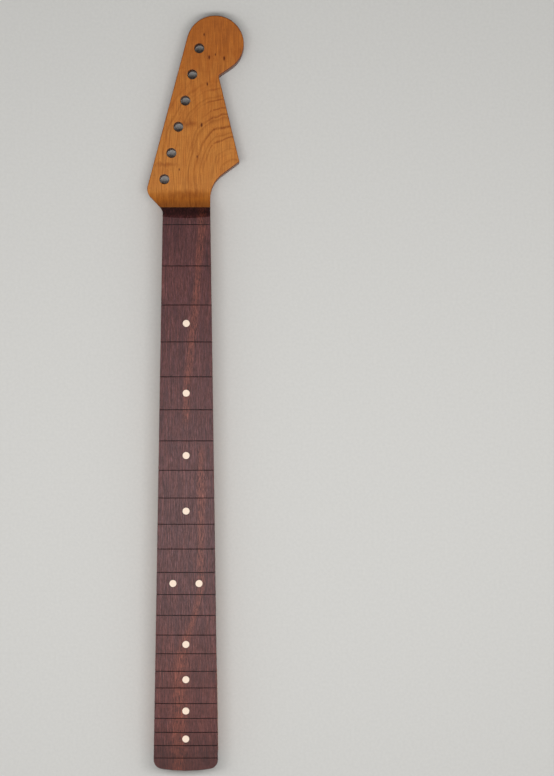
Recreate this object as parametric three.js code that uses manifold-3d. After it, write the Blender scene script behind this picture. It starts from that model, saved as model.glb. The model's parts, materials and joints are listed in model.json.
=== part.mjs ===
// Bolt-on electric guitar neck: a one-piece maple neck with a six-in-line headstock, a glued-on
// rosewood fretboard that is slotted but not yet fretted, dot inlays, and a two-way truss rod that
// is turned from the heel end.
//
// Millimetres. +X is the treble side, +Y points to the headstock, +Z points out of the fretboard.
// The origin is on the flat back of the heel, midway between the four neck screw holes, so the neck
// lies on its back with the heel and the headstock on the plane z = 0.
import * as THREE from "three";
import { mergeVertices } from "three/addons/utils/BufferGeometryUtils.js";
import Module from "manifold-3d";

const wasm = await Module();
wasm.setup();

// Lengths along the neck.
const SCALE_LENGTH = 647.7;
const FRET_COUNT = 22;
const FRETS_PER_OCTAVE = 12;
const LAST_KERF_TO_BOARD_END = 11;
const BOARD_OVERHANG = 7.5;

// Widths and thicknesses.
const NUT_WIDTH = 42;
const HEEL_WIDTH = 56;
const BLANK_THICKNESS = 19.05;
const HEADSTOCK_THICKNESS = 14.3;
const BOARD_THICKNESS = 6.35;
const NECK_DEPTH_AT_NUT = 20.9;
const NECK_DEPTH_AT_HEEL = 23.4;

// Clearances between pieces, and how far cutting forms run past what they cut.
const GLUE_LINE = 0.05;
const INLAY_FIT = 0.1;
const ROD_FIT = 0.3;
const OVERRUN = 4;

// The screws that hold the neck to a body.
const SCREW_SPACING_ACROSS = 38.1;
const SCREW_SPACING_ALONG = 50.8;
const SCREW_ROW_FROM_END = 16.5;
const SCREW_HOLE_DIAMETER = 3.2;
const SCREW_HOLE_DEPTH = 15;

// The rounded heel end, which the fretboard repeats over its overhang.
const END_RADIUS = 137;
const END_CORNER_RADIUS = 8;

// The headstock, from the nut line and the centreline.
const LOBE_RADIUS = 25.3;
const LOBE_OUT = 24.8;
const LOBE_UP = 161.2;
const NOTCH_OUT = 27.9;
const NOTCH_UP = 132.7;
const NOTCH_RADIUS = 2;
const HORN_OUT = 46.4;
const HORN_UP = 56.6;
const HORN_TIP_RADIUS = 2;
const HOLLOW_RADIUS = 26;
const HOLLOW_UP = 23.8;
const CORNER_OUT = 36;
const CORNER_UP = 29.9;
const CORNER_RADIUS = 10;
const SHOULDER_DEGREES = 42;
const SHOULDER_RADIUS = 11;

// The tuning machine holes, in a line beside the headstock's straight edge.
const TUNER_COUNT = 6;
const TUNER_HOLE_DIAMETER = 8.73;
const TUNER_PITCH = 24;
const TUNER_FROM_EDGE = 12.8;
const FIRST_TUNER_FROM_CORNER = 15;

// The ramp from the fretboard down to the headstock's face: a straight slope in the rosewood, then a
// hollow in the maple.
const RAMP_FOOT_RADIUS = 31;
const RAMP_JOINT_UP = 16;

// The carved back.
const CARVE_POWER = 2.2;
const CARVE_EDGE_POWER = 2;
const CARVE_EDGE_LAND = 0.25;
const CREST_RUNOUT_UP = 12;
const CREST_HOLLOW_RADIUS = 112;
const BASS_SCOOP_PAST_CORNER = 3;
const HEEL_FLAT_LENGTH = 87;
const HEEL_RAMP_LENGTH = 18;
const HEEL_SHOULDER_LENGTH = 8;
const HEEL_POWER = 6;

// The fretboard's playing surface and its saw kerfs.
const CROWN_RADIUS_AT_NUT = 254;
const CROWN_RADIUS_AT_END = 406.4;
const KERF_WIDTH = 0.6;
const KERF_DEPTH = 2.5;
const NUT_LINE_DEPTH = 1.4;

// Inlays.
const FACE_DOT_DIAMETER = 6.35;
const FACE_DOT_THICKNESS = 2;
const OCTAVE_DOT_SPACING = 22.8;
const SIDE_DOT_DIAMETER = 2.2;
const SIDE_DOT_LENGTH = 4;
const SIDE_DOT_SPACING = 6.4;

// The two-way truss rod.
const ROD_DIAMETER = 4.2;
const BLOCK_WIDTH = 6;
const BLOCK_HEIGHT = 6.2;
const BLOCK_LENGTH = 12.7;
const BAR_WIDTH = 5;
const BAR_HEIGHT = 3.1;
const ROD_NUT_DIAMETER = 9;
const ROD_NUT_LENGTH = 14;
const ROD_NUT_GRIP = 7;
const ROD_NUT_RECESS = 6;
const KEY_ACROSS_FLATS = 5;
const KEY_DEPTH = 5;
const ANCHOR_FROM_NUT = 12;
const ROD_CHAMFER = 0.5;

// How finely round forms are faceted.
const ARC_STEP = THREE.MathUtils.degToRad(7.5);
const HOLE_SIDES = 24;
const SMALL_HOLE_SIDES = 12;
const CROWN_FACETS = 16;
const CROWN_STATIONS = 10;
const CARVE_FACETS = 13;
const SCOOP_STATIONS = 20;
const HOLLOW_STATIONS = 6;
const HEEL_STATIONS = 8;

// Places worked out from the sizes above.
const fretDistance = (fret) => SCALE_LENGTH * (1 - 2 ** (-fret / FRETS_PER_OCTAVE));
const BOARD_LENGTH = fretDistance(FRET_COUNT) + LAST_KERF_TO_BOARD_END;
const NUT_TO_HEEL_END = BOARD_LENGTH - BOARD_OVERHANG;
const SCREWS_FROM_END = SCREW_ROW_FROM_END + SCREW_SPACING_ALONG / 2;
const NUT_Y = NUT_TO_HEEL_END - SCREWS_FROM_END;
const HEEL_END_Y = -SCREWS_FROM_END;
const JOINT_Z = BLANK_THICKNESS;
const BOARD_Z = JOINT_Z + GLUE_LINE;
const TOP_Z = BOARD_Z + BOARD_THICKNESS;
const SQUARE = Math.PI / 2;

// Small helpers for plane geometry. A point is a Vector2.
const point = (x, y) => new THREE.Vector2(x, y);
const along = (start, direction, distance) =>
  start.clone().addScaledVector(direction, distance);
const towards = (from, to) => to.clone().sub(from).normalize();
const turnedLeft = (v) => point(-v.y, v.x);
const angleOf = (centre, p) => Math.atan2(p.y - centre.y, p.x - centre.x);

// Points on an arc, its two ends included. It turns left where end is above start.
function arc(centre, radius, start, end) {
  const steps = Math.max(2, Math.ceil(Math.abs(end - start) / ARC_STEP));
  return Array.from({ length: steps + 1 }, (_, i) => {
    const a = start + ((end - start) * i) / steps;
    return point(centre.x + radius * Math.cos(a), centre.y + radius * Math.sin(a));
  });
}

// The arc from one point to another round a centre, turning left or right, by the shorter way.
function arcBetween(centre, from, to) {
  const start = angleOf(centre, from);
  let sweep = angleOf(centre, to) - start;
  if (sweep > Math.PI) sweep -= 2 * Math.PI;
  if (sweep < -Math.PI) sweep += 2 * Math.PI;
  return arc(centre, centre.distanceTo(from), start, start + sweep);
}

// A corner between two straight edges, rounded to a radius.
function roundedCorner(before, corner, after, radius) {
  const back = towards(corner, before);
  const on = towards(corner, after);
  const half = back.angleTo(on) / 2;
  const run = radius / Math.tan(half);
  const middle = back.clone().add(on).normalize();
  const centre = along(corner, middle, radius / Math.sin(half));
  return arcBetween(centre, along(corner, back, run), along(corner, on, run));
}

// Where two lines cross, each given by a point and a direction.
function crossing(a, directionA, b, directionB) {
  const gap = b.clone().sub(a);
  return along(a, directionA, gap.cross(directionB) / directionA.cross(directionB));
}

// The tangent point on a circle of a line from an outside point, on the left or right of that line's
// way to the centre.
function tangentPoint(from, centre, radius, side) {
  const way = angleOf(from, centre);
  const spread = Math.asin(radius / from.distanceTo(centre));
  const reach = Math.sqrt(from.distanceTo(centre) ** 2 - radius ** 2);
  const a = way + side * spread;
  return point(from.x + reach * Math.cos(a), from.y + reach * Math.sin(a));
}

// The centre of a circle that touches a line and lies a set distance from another point: the line is
// given by a point, a direction and the side that the circle is on, and the later solution is taken.
function centreBesideLine(start, direction, side, radius, other, distance) {
  const offset = along(start, side, radius);
  const gap = offset.clone().sub(other);
  const half = gap.dot(direction);
  const s = -half + Math.sqrt(half ** 2 - gap.lengthSq() + distance ** 2);
  return along(offset, direction, s);
}

// The two long edges, as points on the nut line and directions towards the heel.
const widthSlope = (HEEL_WIDTH - NUT_WIDTH) / (2 * NUT_TO_HEEL_END);
const trebleNut = point(NUT_WIDTH / 2, NUT_Y);
const bassNut = point(-NUT_WIDTH / 2, NUT_Y);
const trebleEdge = point(widthSlope, -1).normalize();
const bassEdge = point(-widthSlope, -1).normalize();

// Headstock points that the outline, the holes and the carved back share.
const lobe = point(LOBE_OUT, NUT_Y + LOBE_UP);
const notch = point(NOTCH_OUT, NUT_Y + NOTCH_UP);
const horn = point(HORN_OUT, NUT_Y + HORN_UP);
const bassCorner = point(-CORNER_OUT, NUT_Y + CORNER_UP);
const straightEdgeEnd = tangentPoint(bassCorner, lobe, LOBE_RADIUS, 1);
const straightEdge = towards(bassCorner, straightEdgeEnd);

// The headstock's outline from the treble edge round to the bass edge, turning left.
function headstockOutline() {
  const up = trebleEdge.clone().negate();
  const hollowFoot = along(trebleNut, up, HOLLOW_UP);
  const hollowCentre = along(hollowFoot, turnedLeft(trebleEdge), HOLLOW_RADIUS);
  const hollowEnd = tangentPoint(horn, hollowCentre, HOLLOW_RADIUS, -1);
  const lobeFoot = tangentPoint(notch, lobe, LOBE_RADIUS, -1);
  const lobeStart = angleOf(lobe, lobeFoot);
  const lobeEnd = angleOf(lobe, straightEdgeEnd);
  const shoulder = point(
    Math.sin(THREE.MathUtils.degToRad(SHOULDER_DEGREES)),
    -Math.cos(THREE.MathUtils.degToRad(SHOULDER_DEGREES)),
  );
  const throat = crossing(bassCorner, shoulder, bassNut, bassEdge);
  return [
    ...arcBetween(hollowCentre, hollowFoot, hollowEnd),
    ...roundedCorner(hollowEnd, horn, notch, HORN_TIP_RADIUS),
    ...roundedCorner(horn, notch, lobeFoot, NOTCH_RADIUS),
    ...arc(lobe, LOBE_RADIUS, lobeStart, lobeEnd + (lobeEnd < lobeStart ? 2 * Math.PI : 0)),
    ...roundedCorner(straightEdgeEnd, bassCorner, throat, CORNER_RADIUS),
    ...roundedCorner(bassCorner, throat, along(throat, bassEdge, NUT_WIDTH), SHOULDER_RADIUS),
  ];
}

// The heel end from the bass edge round to the treble edge: a shallow arc with rounded corners.
function endOutline(fromNut) {
  const endCentre = point(0, NUT_Y - fromNut + END_RADIUS);
  const corner = centreBesideLine(
    trebleNut,
    trebleEdge,
    turnedLeft(trebleEdge).negate(),
    END_CORNER_RADIUS,
    endCentre,
    END_RADIUS - END_CORNER_RADIUS,
  );
  const onEdge = along(corner, turnedLeft(trebleEdge), END_CORNER_RADIUS);
  const onEnd = along(corner, towards(endCentre, corner), END_CORNER_RADIUS);
  const treble = [
    ...arcBetween(endCentre, point(0, NUT_Y - fromNut), onEnd).slice(1),
    ...arcBetween(corner, onEnd, onEdge).slice(1),
  ];
  const bass = treble.map((p) => point(-p.x, p.y)).reverse();
  return [...bass, point(0, NUT_Y - fromNut), ...treble];
}

const maplePlan = [...headstockOutline(), ...endOutline(NUT_TO_HEEL_END)];
const boardPlan = [...headstockOutline(), ...endOutline(BOARD_LENGTH)];

// The outline's lowest and highest x at a height, or null past its ends.
function spanAt(plan, y) {
  const xs = plan.flatMap((a, i) => {
    const b = plan[(i + 1) % plan.length];
    if ((a.y - y) * (b.y - y) > 0 || a.y === b.y) return [];
    return [a.x + ((b.x - a.x) * (y - a.y)) / (b.y - a.y)];
  });
  return xs.length ? [Math.min(...xs), Math.max(...xs)] : null;
}

// Solids: a geometry becomes one once its vertices are merged by place alone.
function solid(geometry) {
  const bare = geometry.clone();
  bare.deleteAttribute("normal");
  bare.deleteAttribute("uv");
  const merged = mergeVertices(bare);
  return new wasm.Manifold(
    new wasm.Mesh({
      numProp: 3,
      vertProperties: merged.attributes.position.array,
      triVerts: new Uint32Array(merged.index.array),
    }),
  );
}

function geometryOf(made) {
  const mesh = made.getMesh();
  const geometry = new THREE.BufferGeometry();
  geometry.setAttribute("position", new THREE.BufferAttribute(mesh.vertProperties, 3));
  geometry.setIndex(new THREE.BufferAttribute(mesh.triVerts, 1));
  geometry.computeVertexNormals();
  return geometry;
}

// A flat outline raised from one height to another.
function plate(plan, bottom, top) {
  const geometry = new THREE.ExtrudeGeometry(new THREE.Shape(plan), {
    depth: top - bottom,
    bevelEnabled: false,
  });
  return solid(geometry.translate(0, 0, bottom));
}

// A solid between a level floor and a surface given by rows of points. Each row runs in +X, and the
// rows follow each other in +Y.
function slabUnder(rows, floor) {
  const columns = rows[0].length;
  const positions = [];
  const triangles = [];
  rows.forEach((row) => row.forEach((p) => positions.push(p.x, p.y, p.z, p.x, p.y, floor)));
  const upper = (j, i) => 2 * (j * columns + i);
  const lower = (j, i) => upper(j, i) + 1;
  const quad = (a, b, c, d) => triangles.push(a, b, c, a, c, d);
  for (let j = 0; j + 1 < rows.length; j++) {
    for (let i = 0; i + 1 < columns; i++) {
      quad(upper(j, i), upper(j, i + 1), upper(j + 1, i + 1), upper(j + 1, i));
      quad(lower(j, i), lower(j + 1, i), lower(j + 1, i + 1), lower(j, i + 1));
    }
    quad(lower(j, 0), upper(j, 0), upper(j + 1, 0), lower(j + 1, 0));
    const e = columns - 1;
    quad(lower(j, e), lower(j + 1, e), upper(j + 1, e), upper(j, e));
  }
  const last = rows.length - 1;
  for (let i = 0; i + 1 < columns; i++) {
    quad(lower(0, i), lower(0, i + 1), upper(0, i + 1), upper(0, i));
    quad(lower(last, i), upper(last, i), upper(last, i + 1), lower(last, i + 1));
  }
  const geometry = new THREE.BufferGeometry();
  geometry.setAttribute("position", new THREE.Float32BufferAttribute(positions, 3));
  geometry.setIndex(triangles);
  return solid(geometry);
}

// A round bar between two points along X, Y or Z.
function bar(from, to, diameter, sides) {
  const span = new THREE.Vector3().subVectors(to, from);
  const geometry = new THREE.CylinderGeometry(diameter / 2, diameter / 2, span.length(), sides);
  const turn = new THREE.Quaternion().setFromUnitVectors(
    new THREE.Vector3(0, 1, 0),
    span.clone().normalize(),
  );
  geometry.applyQuaternion(turn);
  const middle = new THREE.Vector3().addVectors(from, to).multiplyScalar(1 / 2);
  return solid(geometry.translate(middle.x, middle.y, middle.z));
}

function box(low, high) {
  const size = new THREE.Vector3().subVectors(high, low);
  const middle = new THREE.Vector3().addVectors(low, high).multiplyScalar(1 / 2);
  const geometry = new THREE.BoxGeometry(size.x, size.y, size.z);
  return solid(geometry.translate(middle.x, middle.y, middle.z));
}

const at = (x, y, z) => new THREE.Vector3(x, y, z);

// Everything under the headstock's face, the ramp and a level over the fretboard, as wide as the
// headstock and more. Its profile is drawn with y across and z up, then stood on its side.
function underFace() {
  const rise = JOINT_Z - HEADSTOCK_THICKNESS;
  const slope = Math.acos(1 - rise / RAMP_FOOT_RADIUS);
  const joint = point(NUT_Y + RAMP_JOINT_UP, JOINT_Z);
  const footCentre = point(
    joint.x + RAMP_FOOT_RADIUS * Math.sin(slope),
    HEADSTOCK_THICKNESS + RAMP_FOOT_RADIUS,
  );
  const foot = arc(footCentre, RAMP_FOOT_RADIUS, -SQUARE, -SQUARE - slope);
  const rampRise = TOP_Z + OVERRUN - joint.y;
  const rampTop = point(joint.x - rampRise / Math.tan(slope), joint.y + rampRise);
  const tip = lobe.y + LOBE_RADIUS + OVERRUN;
  const end = NUT_Y - BOARD_LENGTH - OVERRUN;
  const profile = [
    point(end, -OVERRUN),
    point(tip, -OVERRUN),
    point(tip, HEADSTOCK_THICKNESS),
    ...foot,
    rampTop,
    point(end, rampTop.y),
  ];
  const reach = 2 * (HORN_OUT + HEEL_WIDTH);
  const geometry = new THREE.ExtrudeGeometry(new THREE.Shape(profile), {
    depth: reach,
    bevelEnabled: false,
  });
  geometry.translate(0, 0, -reach / 2);
  const stand = new THREE.Matrix4().makeBasis(at(0, 1, 0), at(0, 0, 1), at(1, 0, 0));
  return solid(geometry.applyMatrix4(stand));
}

// The wood that the carving takes off the back, as a solid under the carved surface. Across the
// neck, the surface is a C: a superellipse from rim to rim, whose crest lies highest over the
// neck's back plane. At the headstock the crest dives through that plane in a long hollow, and the
// C opens into two scoops. Their rims come down from the joint to the back plane, which they reach at
// the horn and at the bass corner. At the heel the C squares up and its shoulders run out on the flat.
function carving() {
  const depthSlope = (NECK_DEPTH_AT_HEEL - NECK_DEPTH_AT_NUT) / NUT_TO_HEEL_END;
  const woodDepth = (fromNut) => NECK_DEPTH_AT_NUT + depthSlope * fromNut - (TOP_Z - JOINT_Z);
  const crestOut = NUT_Y + CREST_RUNOUT_UP;
  const trebleOut = NUT_Y + HORN_UP;
  const bassOut = NUT_Y + CORNER_UP + BASS_SCOOP_PAST_CORNER;
  const crestAtNut = BLANK_THICKNESS - woodDepth(0);
  const hollowLength = Math.sqrt(2 * CREST_HOLLOW_RADIUS * crestAtNut);
  const hollowStart = crestOut - hollowLength;
  const flatStart = HEEL_END_Y + HEEL_FLAT_LENGTH;
  const rampStart = flatStart + HEEL_RAMP_LENGTH;
  const shoulderEnd = flatStart - HEEL_SHOULDER_LENGTH;

  // The C's rim, depth and squareness on one side at a place along the neck. An infinite depth means
  // that nothing is cut there.
  function section(y, scoopEnd) {
    if (y > crestOut) {
      const share = Math.min(1, (y - crestOut) / (scoopEnd - crestOut));
      const rim = (BLANK_THICKNESS * (1 + Math.cos(Math.PI * share))) / 2;
      const depth = share < 1 ? rim * (1 - share) ** (-1 / CARVE_EDGE_POWER) : Infinity;
      return { rim, depth, power: CARVE_POWER };
    }
    const rim = JOINT_Z;
    if (y > hollowStart) {
      const dive = (y - hollowStart) ** 2 / (2 * CREST_HOLLOW_RADIUS);
      return { rim, depth: BLANK_THICKNESS - crestAtNut + dive, power: CARVE_POWER };
    }
    if (y > rampStart) return { rim, depth: woodDepth(NUT_Y - y), power: CARVE_POWER };
    if (y > flatStart) {
      const share = (rampStart - y) / HEEL_RAMP_LENGTH;
      const eased = share * share * (3 - 2 * share);
      const start = woodDepth(NUT_Y - rampStart);
      return {
        rim,
        depth: start + (BLANK_THICKNESS - start) * eased,
        power: CARVE_POWER + (HEEL_POWER - CARVE_POWER) * eased,
      };
    }
    const share = (flatStart - y) / HEEL_SHOULDER_LENGTH;
    const depth = share < 1 ? BLANK_THICKNESS * (1 - share) ** (-1 / CARVE_EDGE_POWER) : Infinity;
    return { rim, depth, power: HEEL_POWER };
  }

  // One row of the surface, from beyond the bass edge to beyond the treble edge.
  function row(y) {
    const [bass, treble] = spanAt(maplePlan, y);
    const half = (edge, scoopEnd) => {
      const { rim, depth, power } = section(y, scoopEnd);
      const reach = Math.abs(edge) + CARVE_EDGE_LAND;
      const inside = Array.from({ length: CARVE_FACETS + 1 }, (_, i) => {
        const u = Math.sin((SQUARE * i) / CARVE_FACETS);
        const fall = (1 - u ** power) ** (1 / CARVE_EDGE_POWER);
        const z = depth === Infinity ? -OVERRUN / 2 : rim - depth * fall;
        return at(Math.sign(edge) * reach * u, y, Math.max(z, -OVERRUN / 2));
      });
      const last = inside[CARVE_FACETS];
      return [...inside, at(last.x + Math.sign(edge) * OVERRUN, y, last.z)];
    };
    return [...half(bass, bassOut).reverse(), ...half(treble, trebleOut).slice(1)];
  }

  const between = (start, end, steps, ease = 1) =>
    Array.from({ length: steps }, (_, i) => start + (end - start) * (i / steps) ** ease);
  const stations = [
    ...between(shoulderEnd, flatStart, HEEL_STATIONS, 2),
    ...between(flatStart, rampStart, HEEL_STATIONS),
    rampStart,
    ...between(hollowStart, crestOut, HOLLOW_STATIONS),
    ...between(crestOut, trebleOut, SCOOP_STATIONS),
    ...between(crestOut, bassOut, HOLLOW_STATIONS).slice(1),
    bassOut,
    trebleOut,
  ].sort((a, b) => a - b);
  return slabUnder(stations.map(row), -OVERRUN);
}

// The slot under the fretboard that holds the truss rod, with a rounded end at the nut, and the
// round mouth in the heel end through which its nut is turned.
const CHANNEL_DEPTH = 3 * ROD_FIT + BLOCK_HEIGHT + BAR_HEIGHT;
const CHANNEL_WIDTH = BLOCK_WIDTH + 2 * ROD_FIT;
const CHANNEL_FLOOR = JOINT_Z - CHANNEL_DEPTH;
const ROD_Z = CHANNEL_FLOOR + ROD_FIT + BLOCK_HEIGHT / 2;
const MOUTH_DIAMETER = ROD_NUT_DIAMETER + 2 * ROD_FIT;
const ROD_NUT_Y = HEEL_END_Y + ROD_NUT_RECESS;
const HEEL_BLOCK_Y = ROD_NUT_Y + ROD_NUT_LENGTH + ROD_FIT;
const ANCHOR_END_Y = NUT_Y - ANCHOR_FROM_NUT;

function rodSpace() {
  const half = CHANNEL_WIDTH / 2;
  const end = ANCHOR_END_Y + ROD_FIT;
  const plan = [
    point(-half, HEEL_BLOCK_Y - ROD_FIT),
    point(half, HEEL_BLOCK_Y - ROD_FIT),
    ...arc(point(0, end), half, 0, Math.PI),
  ];
  const mouth = bar(
    at(0, HEEL_END_Y - OVERRUN, ROD_Z),
    at(0, HEEL_BLOCK_Y, ROD_Z),
    MOUTH_DIAMETER,
    HOLE_SIDES,
  );
  return plate(plan, CHANNEL_FLOOR, JOINT_Z + OVERRUN).add(mouth);
}

function tunerHoles() {
  const inward = turnedLeft(straightEdge).negate();
  return Array.from({ length: TUNER_COUNT }, (_, i) => {
    const foot = along(bassCorner, straightEdge, FIRST_TUNER_FROM_CORNER + i * TUNER_PITCH);
    const hole = along(foot, inward, TUNER_FROM_EDGE);
    return bar(
      at(hole.x, hole.y, -OVERRUN),
      at(hole.x, hole.y, BLANK_THICKNESS + OVERRUN),
      TUNER_HOLE_DIAMETER,
      HOLE_SIDES,
    );
  });
}

function screwHoles() {
  return [-1, 1].flatMap((across) =>
    [-1, 1].map((lengthwise) => {
      const x = (across * SCREW_SPACING_ACROSS) / 2;
      const y = (lengthwise * SCREW_SPACING_ALONG) / 2;
      return bar(
        at(x, y, -OVERRUN),
        at(x, y, SCREW_HOLE_DEPTH),
        SCREW_HOLE_DIAMETER,
        SMALL_HOLE_SIDES,
      );
    }),
  );
}

const without = (start, cuts) => cuts.reduce((left, cut) => left.subtract(cut), start);

function mapleNeck() {
  const blank = plate(maplePlan, 0, JOINT_Z).intersect(underFace());
  return without(blank, [carving(), rodSpace(), ...tunerHoles(), ...screwHoles()]);
}

// The fretboard's playing surface: arcs across the neck whose radius grows towards the heel.
const crownRadius = (fromNut) =>
  CROWN_RADIUS_AT_NUT +
  ((CROWN_RADIUS_AT_END - CROWN_RADIUS_AT_NUT) * Math.max(0, fromNut)) / BOARD_LENGTH;
function crownHeight(x, y) {
  const radius = crownRadius(NUT_Y - y);
  return TOP_Z - radius + Math.sqrt(radius ** 2 - x ** 2);
}

function crownSlab() {
  const low = NUT_Y - BOARD_LENGTH - OVERRUN;
  const high = NUT_Y + RAMP_JOINT_UP + OVERRUN;
  const half = HEEL_WIDTH / 2 + OVERRUN;
  const rows = Array.from({ length: CROWN_STATIONS + 1 }, (_, j) => {
    const y = low + ((high - low) * j) / CROWN_STATIONS;
    return Array.from({ length: CROWN_FACETS + 1 }, (_, i) => {
      const x = THREE.MathUtils.lerp(-half, half, i / CROWN_FACETS);
      return at(x, y, crownHeight(x, y));
    });
  });
  return slabUnder(rows, BOARD_Z);
}

// The kerf at the nut line is only a shallow mark; the fret kerfs are sawn to their full depth.
function kerfs() {
  return Array.from({ length: FRET_COUNT + 1 }, (_, fret) => {
    const y = NUT_Y - fretDistance(fret);
    const reach = HEEL_WIDTH;
    const floor = TOP_Z - (fret ? KERF_DEPTH : NUT_LINE_DEPTH);
    return box(
      at(-reach, y - KERF_WIDTH / 2, floor),
      at(reach, y + KERF_WIDTH / 2, TOP_Z + OVERRUN),
    );
  });
}

// Halfway between a fret and the one before it, which is where its marker lies.
const markerY = (fret) => NUT_Y - (fretDistance(fret) + fretDistance(fret - 1)) / 2;

// A marker stands at every other fret of an octave, but not beside the octave's own, which has two.
const frets = Array.from({ length: FRET_COUNT }, (_, i) => i + 1);
const stepOf = (fret) => fret % FRETS_PER_OCTAVE;
const singleDotFrets = frets.filter(
  (fret) => stepOf(fret) % 2 === 1 && stepOf(fret) > 1 && stepOf(fret) < FRETS_PER_OCTAVE - 1,
);
const octaveFrets = frets.filter((fret) => stepOf(fret) === 0);

// Every face dot and side dot by name and place.
const faceDots = [
  ...singleDotFrets.map((fret) => ({ name: `face_dot_${fret}`, x: 0, y: markerY(fret) })),
  ...octaveFrets.flatMap((fret) =>
    [-1, 1].map((side) => ({
      name: `face_dot_${fret}_${side < 0 ? "bass" : "treble"}`,
      x: (side * OCTAVE_DOT_SPACING) / 2,
      y: markerY(fret),
    })),
  ),
];
const sideDots = [
  ...singleDotFrets.map((fret) => ({ name: `side_dot_${fret}`, y: markerY(fret) })),
  ...octaveFrets.flatMap((fret) =>
    [-1, 1].map((side) => ({
      name: `side_dot_${fret}_${side < 0 ? "lower" : "upper"}`,
      y: markerY(fret) + (side * SIDE_DOT_SPACING) / 2,
    })),
  ),
];

// A face dot's pocket, or the dot itself where it is drawn in by the fit all round.
function faceDotForm({ x, y }, fit, top) {
  const floor = TOP_Z - FACE_DOT_THICKNESS + fit;
  return bar(at(x, y, floor), at(x, y, top), FACE_DOT_DIAMETER - 2 * fit, HOLE_SIDES);
}

// A side dot lies square to the bass edge, in the middle of the fretboard's side.
function sideDotForm({ y }, fit, outward) {
  const fromNut = NUT_Y - y;
  const edge = along(bassNut, bassEdge, fromNut / -bassEdge.y);
  const inward = turnedLeft(bassEdge);
  const inner = along(edge, inward, SIDE_DOT_LENGTH - fit);
  const outer = along(edge, inward, -outward);
  const sideTop = crownHeight(edge.x, edge.y);
  const z = (BOARD_Z + Math.min(sideTop, TOP_Z)) / 2;
  return bar(
    at(inner.x, inner.y, z),
    at(outer.x, outer.y, z),
    SIDE_DOT_DIAMETER - 2 * fit,
    SMALL_HOLE_SIDES,
  );
}

const crown = crownSlab();

function fretboard() {
  const board = plate(boardPlan, BOARD_Z, TOP_Z + OVERRUN)
    .intersect(underFace())
    .intersect(crown);
  return without(board, [
    ...kerfs(),
    ...faceDots.map((dot) => faceDotForm(dot, 0, TOP_Z + OVERRUN)),
    ...sideDots.map((dot) => sideDotForm(dot, 0, OVERRUN)),
  ]);
}

// A face dot is levelled with the playing surface.
const faceDot = (dot) => faceDotForm(dot, INLAY_FIT, TOP_Z + OVERRUN).intersect(crown);
const sideDot = (dot) => sideDotForm(dot, INLAY_FIT, 0);

// The truss rod. Both blocks stand on the channel's floor, and the flat bar lies over them.
const BLOCK_Z = CHANNEL_FLOOR + ROD_FIT;

function rodBlock(start) {
  const body = box(
    at(-BLOCK_WIDTH / 2, start, BLOCK_Z),
    at(BLOCK_WIDTH / 2, start + BLOCK_LENGTH, BLOCK_Z + BLOCK_HEIGHT),
  );
  const bore = bar(
    at(0, start - OVERRUN, ROD_Z),
    at(0, start + BLOCK_LENGTH + OVERRUN, ROD_Z),
    ROD_DIAMETER + 2 * ROD_FIT,
    HOLE_SIDES,
  );
  return body.subtract(bore);
}

function flatBar() {
  const floor = BLOCK_Z + BLOCK_HEIGHT + ROD_FIT;
  return box(
    at(-BAR_WIDTH / 2, HEEL_BLOCK_Y, floor),
    at(BAR_WIDTH / 2, ANCHOR_END_Y, floor + BAR_HEIGHT),
  );
}

// A round piece on the rod's axis, from pairs of a radius and a place along the neck.
function turned(profile, sides) {
  const outline = profile.map(([radius, y]) => point(radius, y));
  const geometry = new THREE.LatheGeometry(outline, sides);
  return solid(geometry.translate(0, 0, ROD_Z));
}

function threadedRod() {
  const start = ROD_NUT_Y + ROD_NUT_LENGTH - ROD_NUT_GRIP + ROD_FIT;
  const end = ANCHOR_END_Y;
  const radius = ROD_DIAMETER / 2;
  return turned(
    [
      [0, start],
      [radius - ROD_CHAMFER, start],
      [radius, start + ROD_CHAMFER],
      [radius, end - ROD_CHAMFER],
      [radius - ROD_CHAMFER, end],
      [0, end],
    ],
    HOLE_SIDES,
  );
}

function adjustingNut() {
  const radius = ROD_NUT_DIAMETER / 2;
  const end = ROD_NUT_Y + ROD_NUT_LENGTH;
  const body = turned(
    [
      [0, ROD_NUT_Y],
      [radius - ROD_CHAMFER, ROD_NUT_Y],
      [radius, ROD_NUT_Y + ROD_CHAMFER],
      [radius, end - ROD_CHAMFER],
      [radius - ROD_CHAMFER, end],
      [0, end],
    ],
    HOLE_SIDES,
  );
  const keyway = bar(
    at(0, ROD_NUT_Y - OVERRUN, ROD_Z),
    at(0, ROD_NUT_Y + KEY_DEPTH, ROD_Z),
    KEY_ACROSS_FLATS / Math.cos(Math.PI / 6),
    6,
  );
  const grip = bar(
    at(0, end - ROD_NUT_GRIP, ROD_Z),
    at(0, end + OVERRUN, ROD_Z),
    ROD_DIAMETER + 2 * ROD_FIT,
    HOLE_SIDES,
  );
  return without(body, [keyway, grip]);
}

// Materials.
const finish = (color, roughness, metalness = 0) =>
  new THREE.MeshStandardMaterial({ color, roughness, metalness });
const ROASTED_MAPLE = finish("#b4743a", 0.45);
const ROSEWOOD = finish("#553a35", 0.6);
const CLAY = finish("#efdcc6", 0.5);
const STEEL = finish("#8f9296", 0.35, 1);
const BRASS = finish("#b5914f", 0.4, 1);

function piece(name, made, material) {
  const mesh = new THREE.Mesh(geometryOf(made), material);
  mesh.name = name;
  return mesh;
}

const neck = new THREE.Group();
neck.add(
  piece("maple_neck", mapleNeck(), ROASTED_MAPLE),
  piece("fretboard", fretboard(), ROSEWOOD),
  ...faceDots.map((dot) => piece(dot.name, faceDot(dot), CLAY)),
  ...sideDots.map((dot) => piece(dot.name, sideDot(dot), CLAY)),
  piece("truss_heel_block", rodBlock(HEEL_BLOCK_Y), BRASS),
  piece("truss_anchor_block", rodBlock(ANCHOR_END_Y - BLOCK_LENGTH), BRASS),
  piece("truss_flat_bar", flatBar(), STEEL),
  piece("truss_threaded_rod", threadedRod(), STEEL),
  piece("truss_adjusting_nut", adjustingNut(), STEEL),
);

export default neck;
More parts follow.
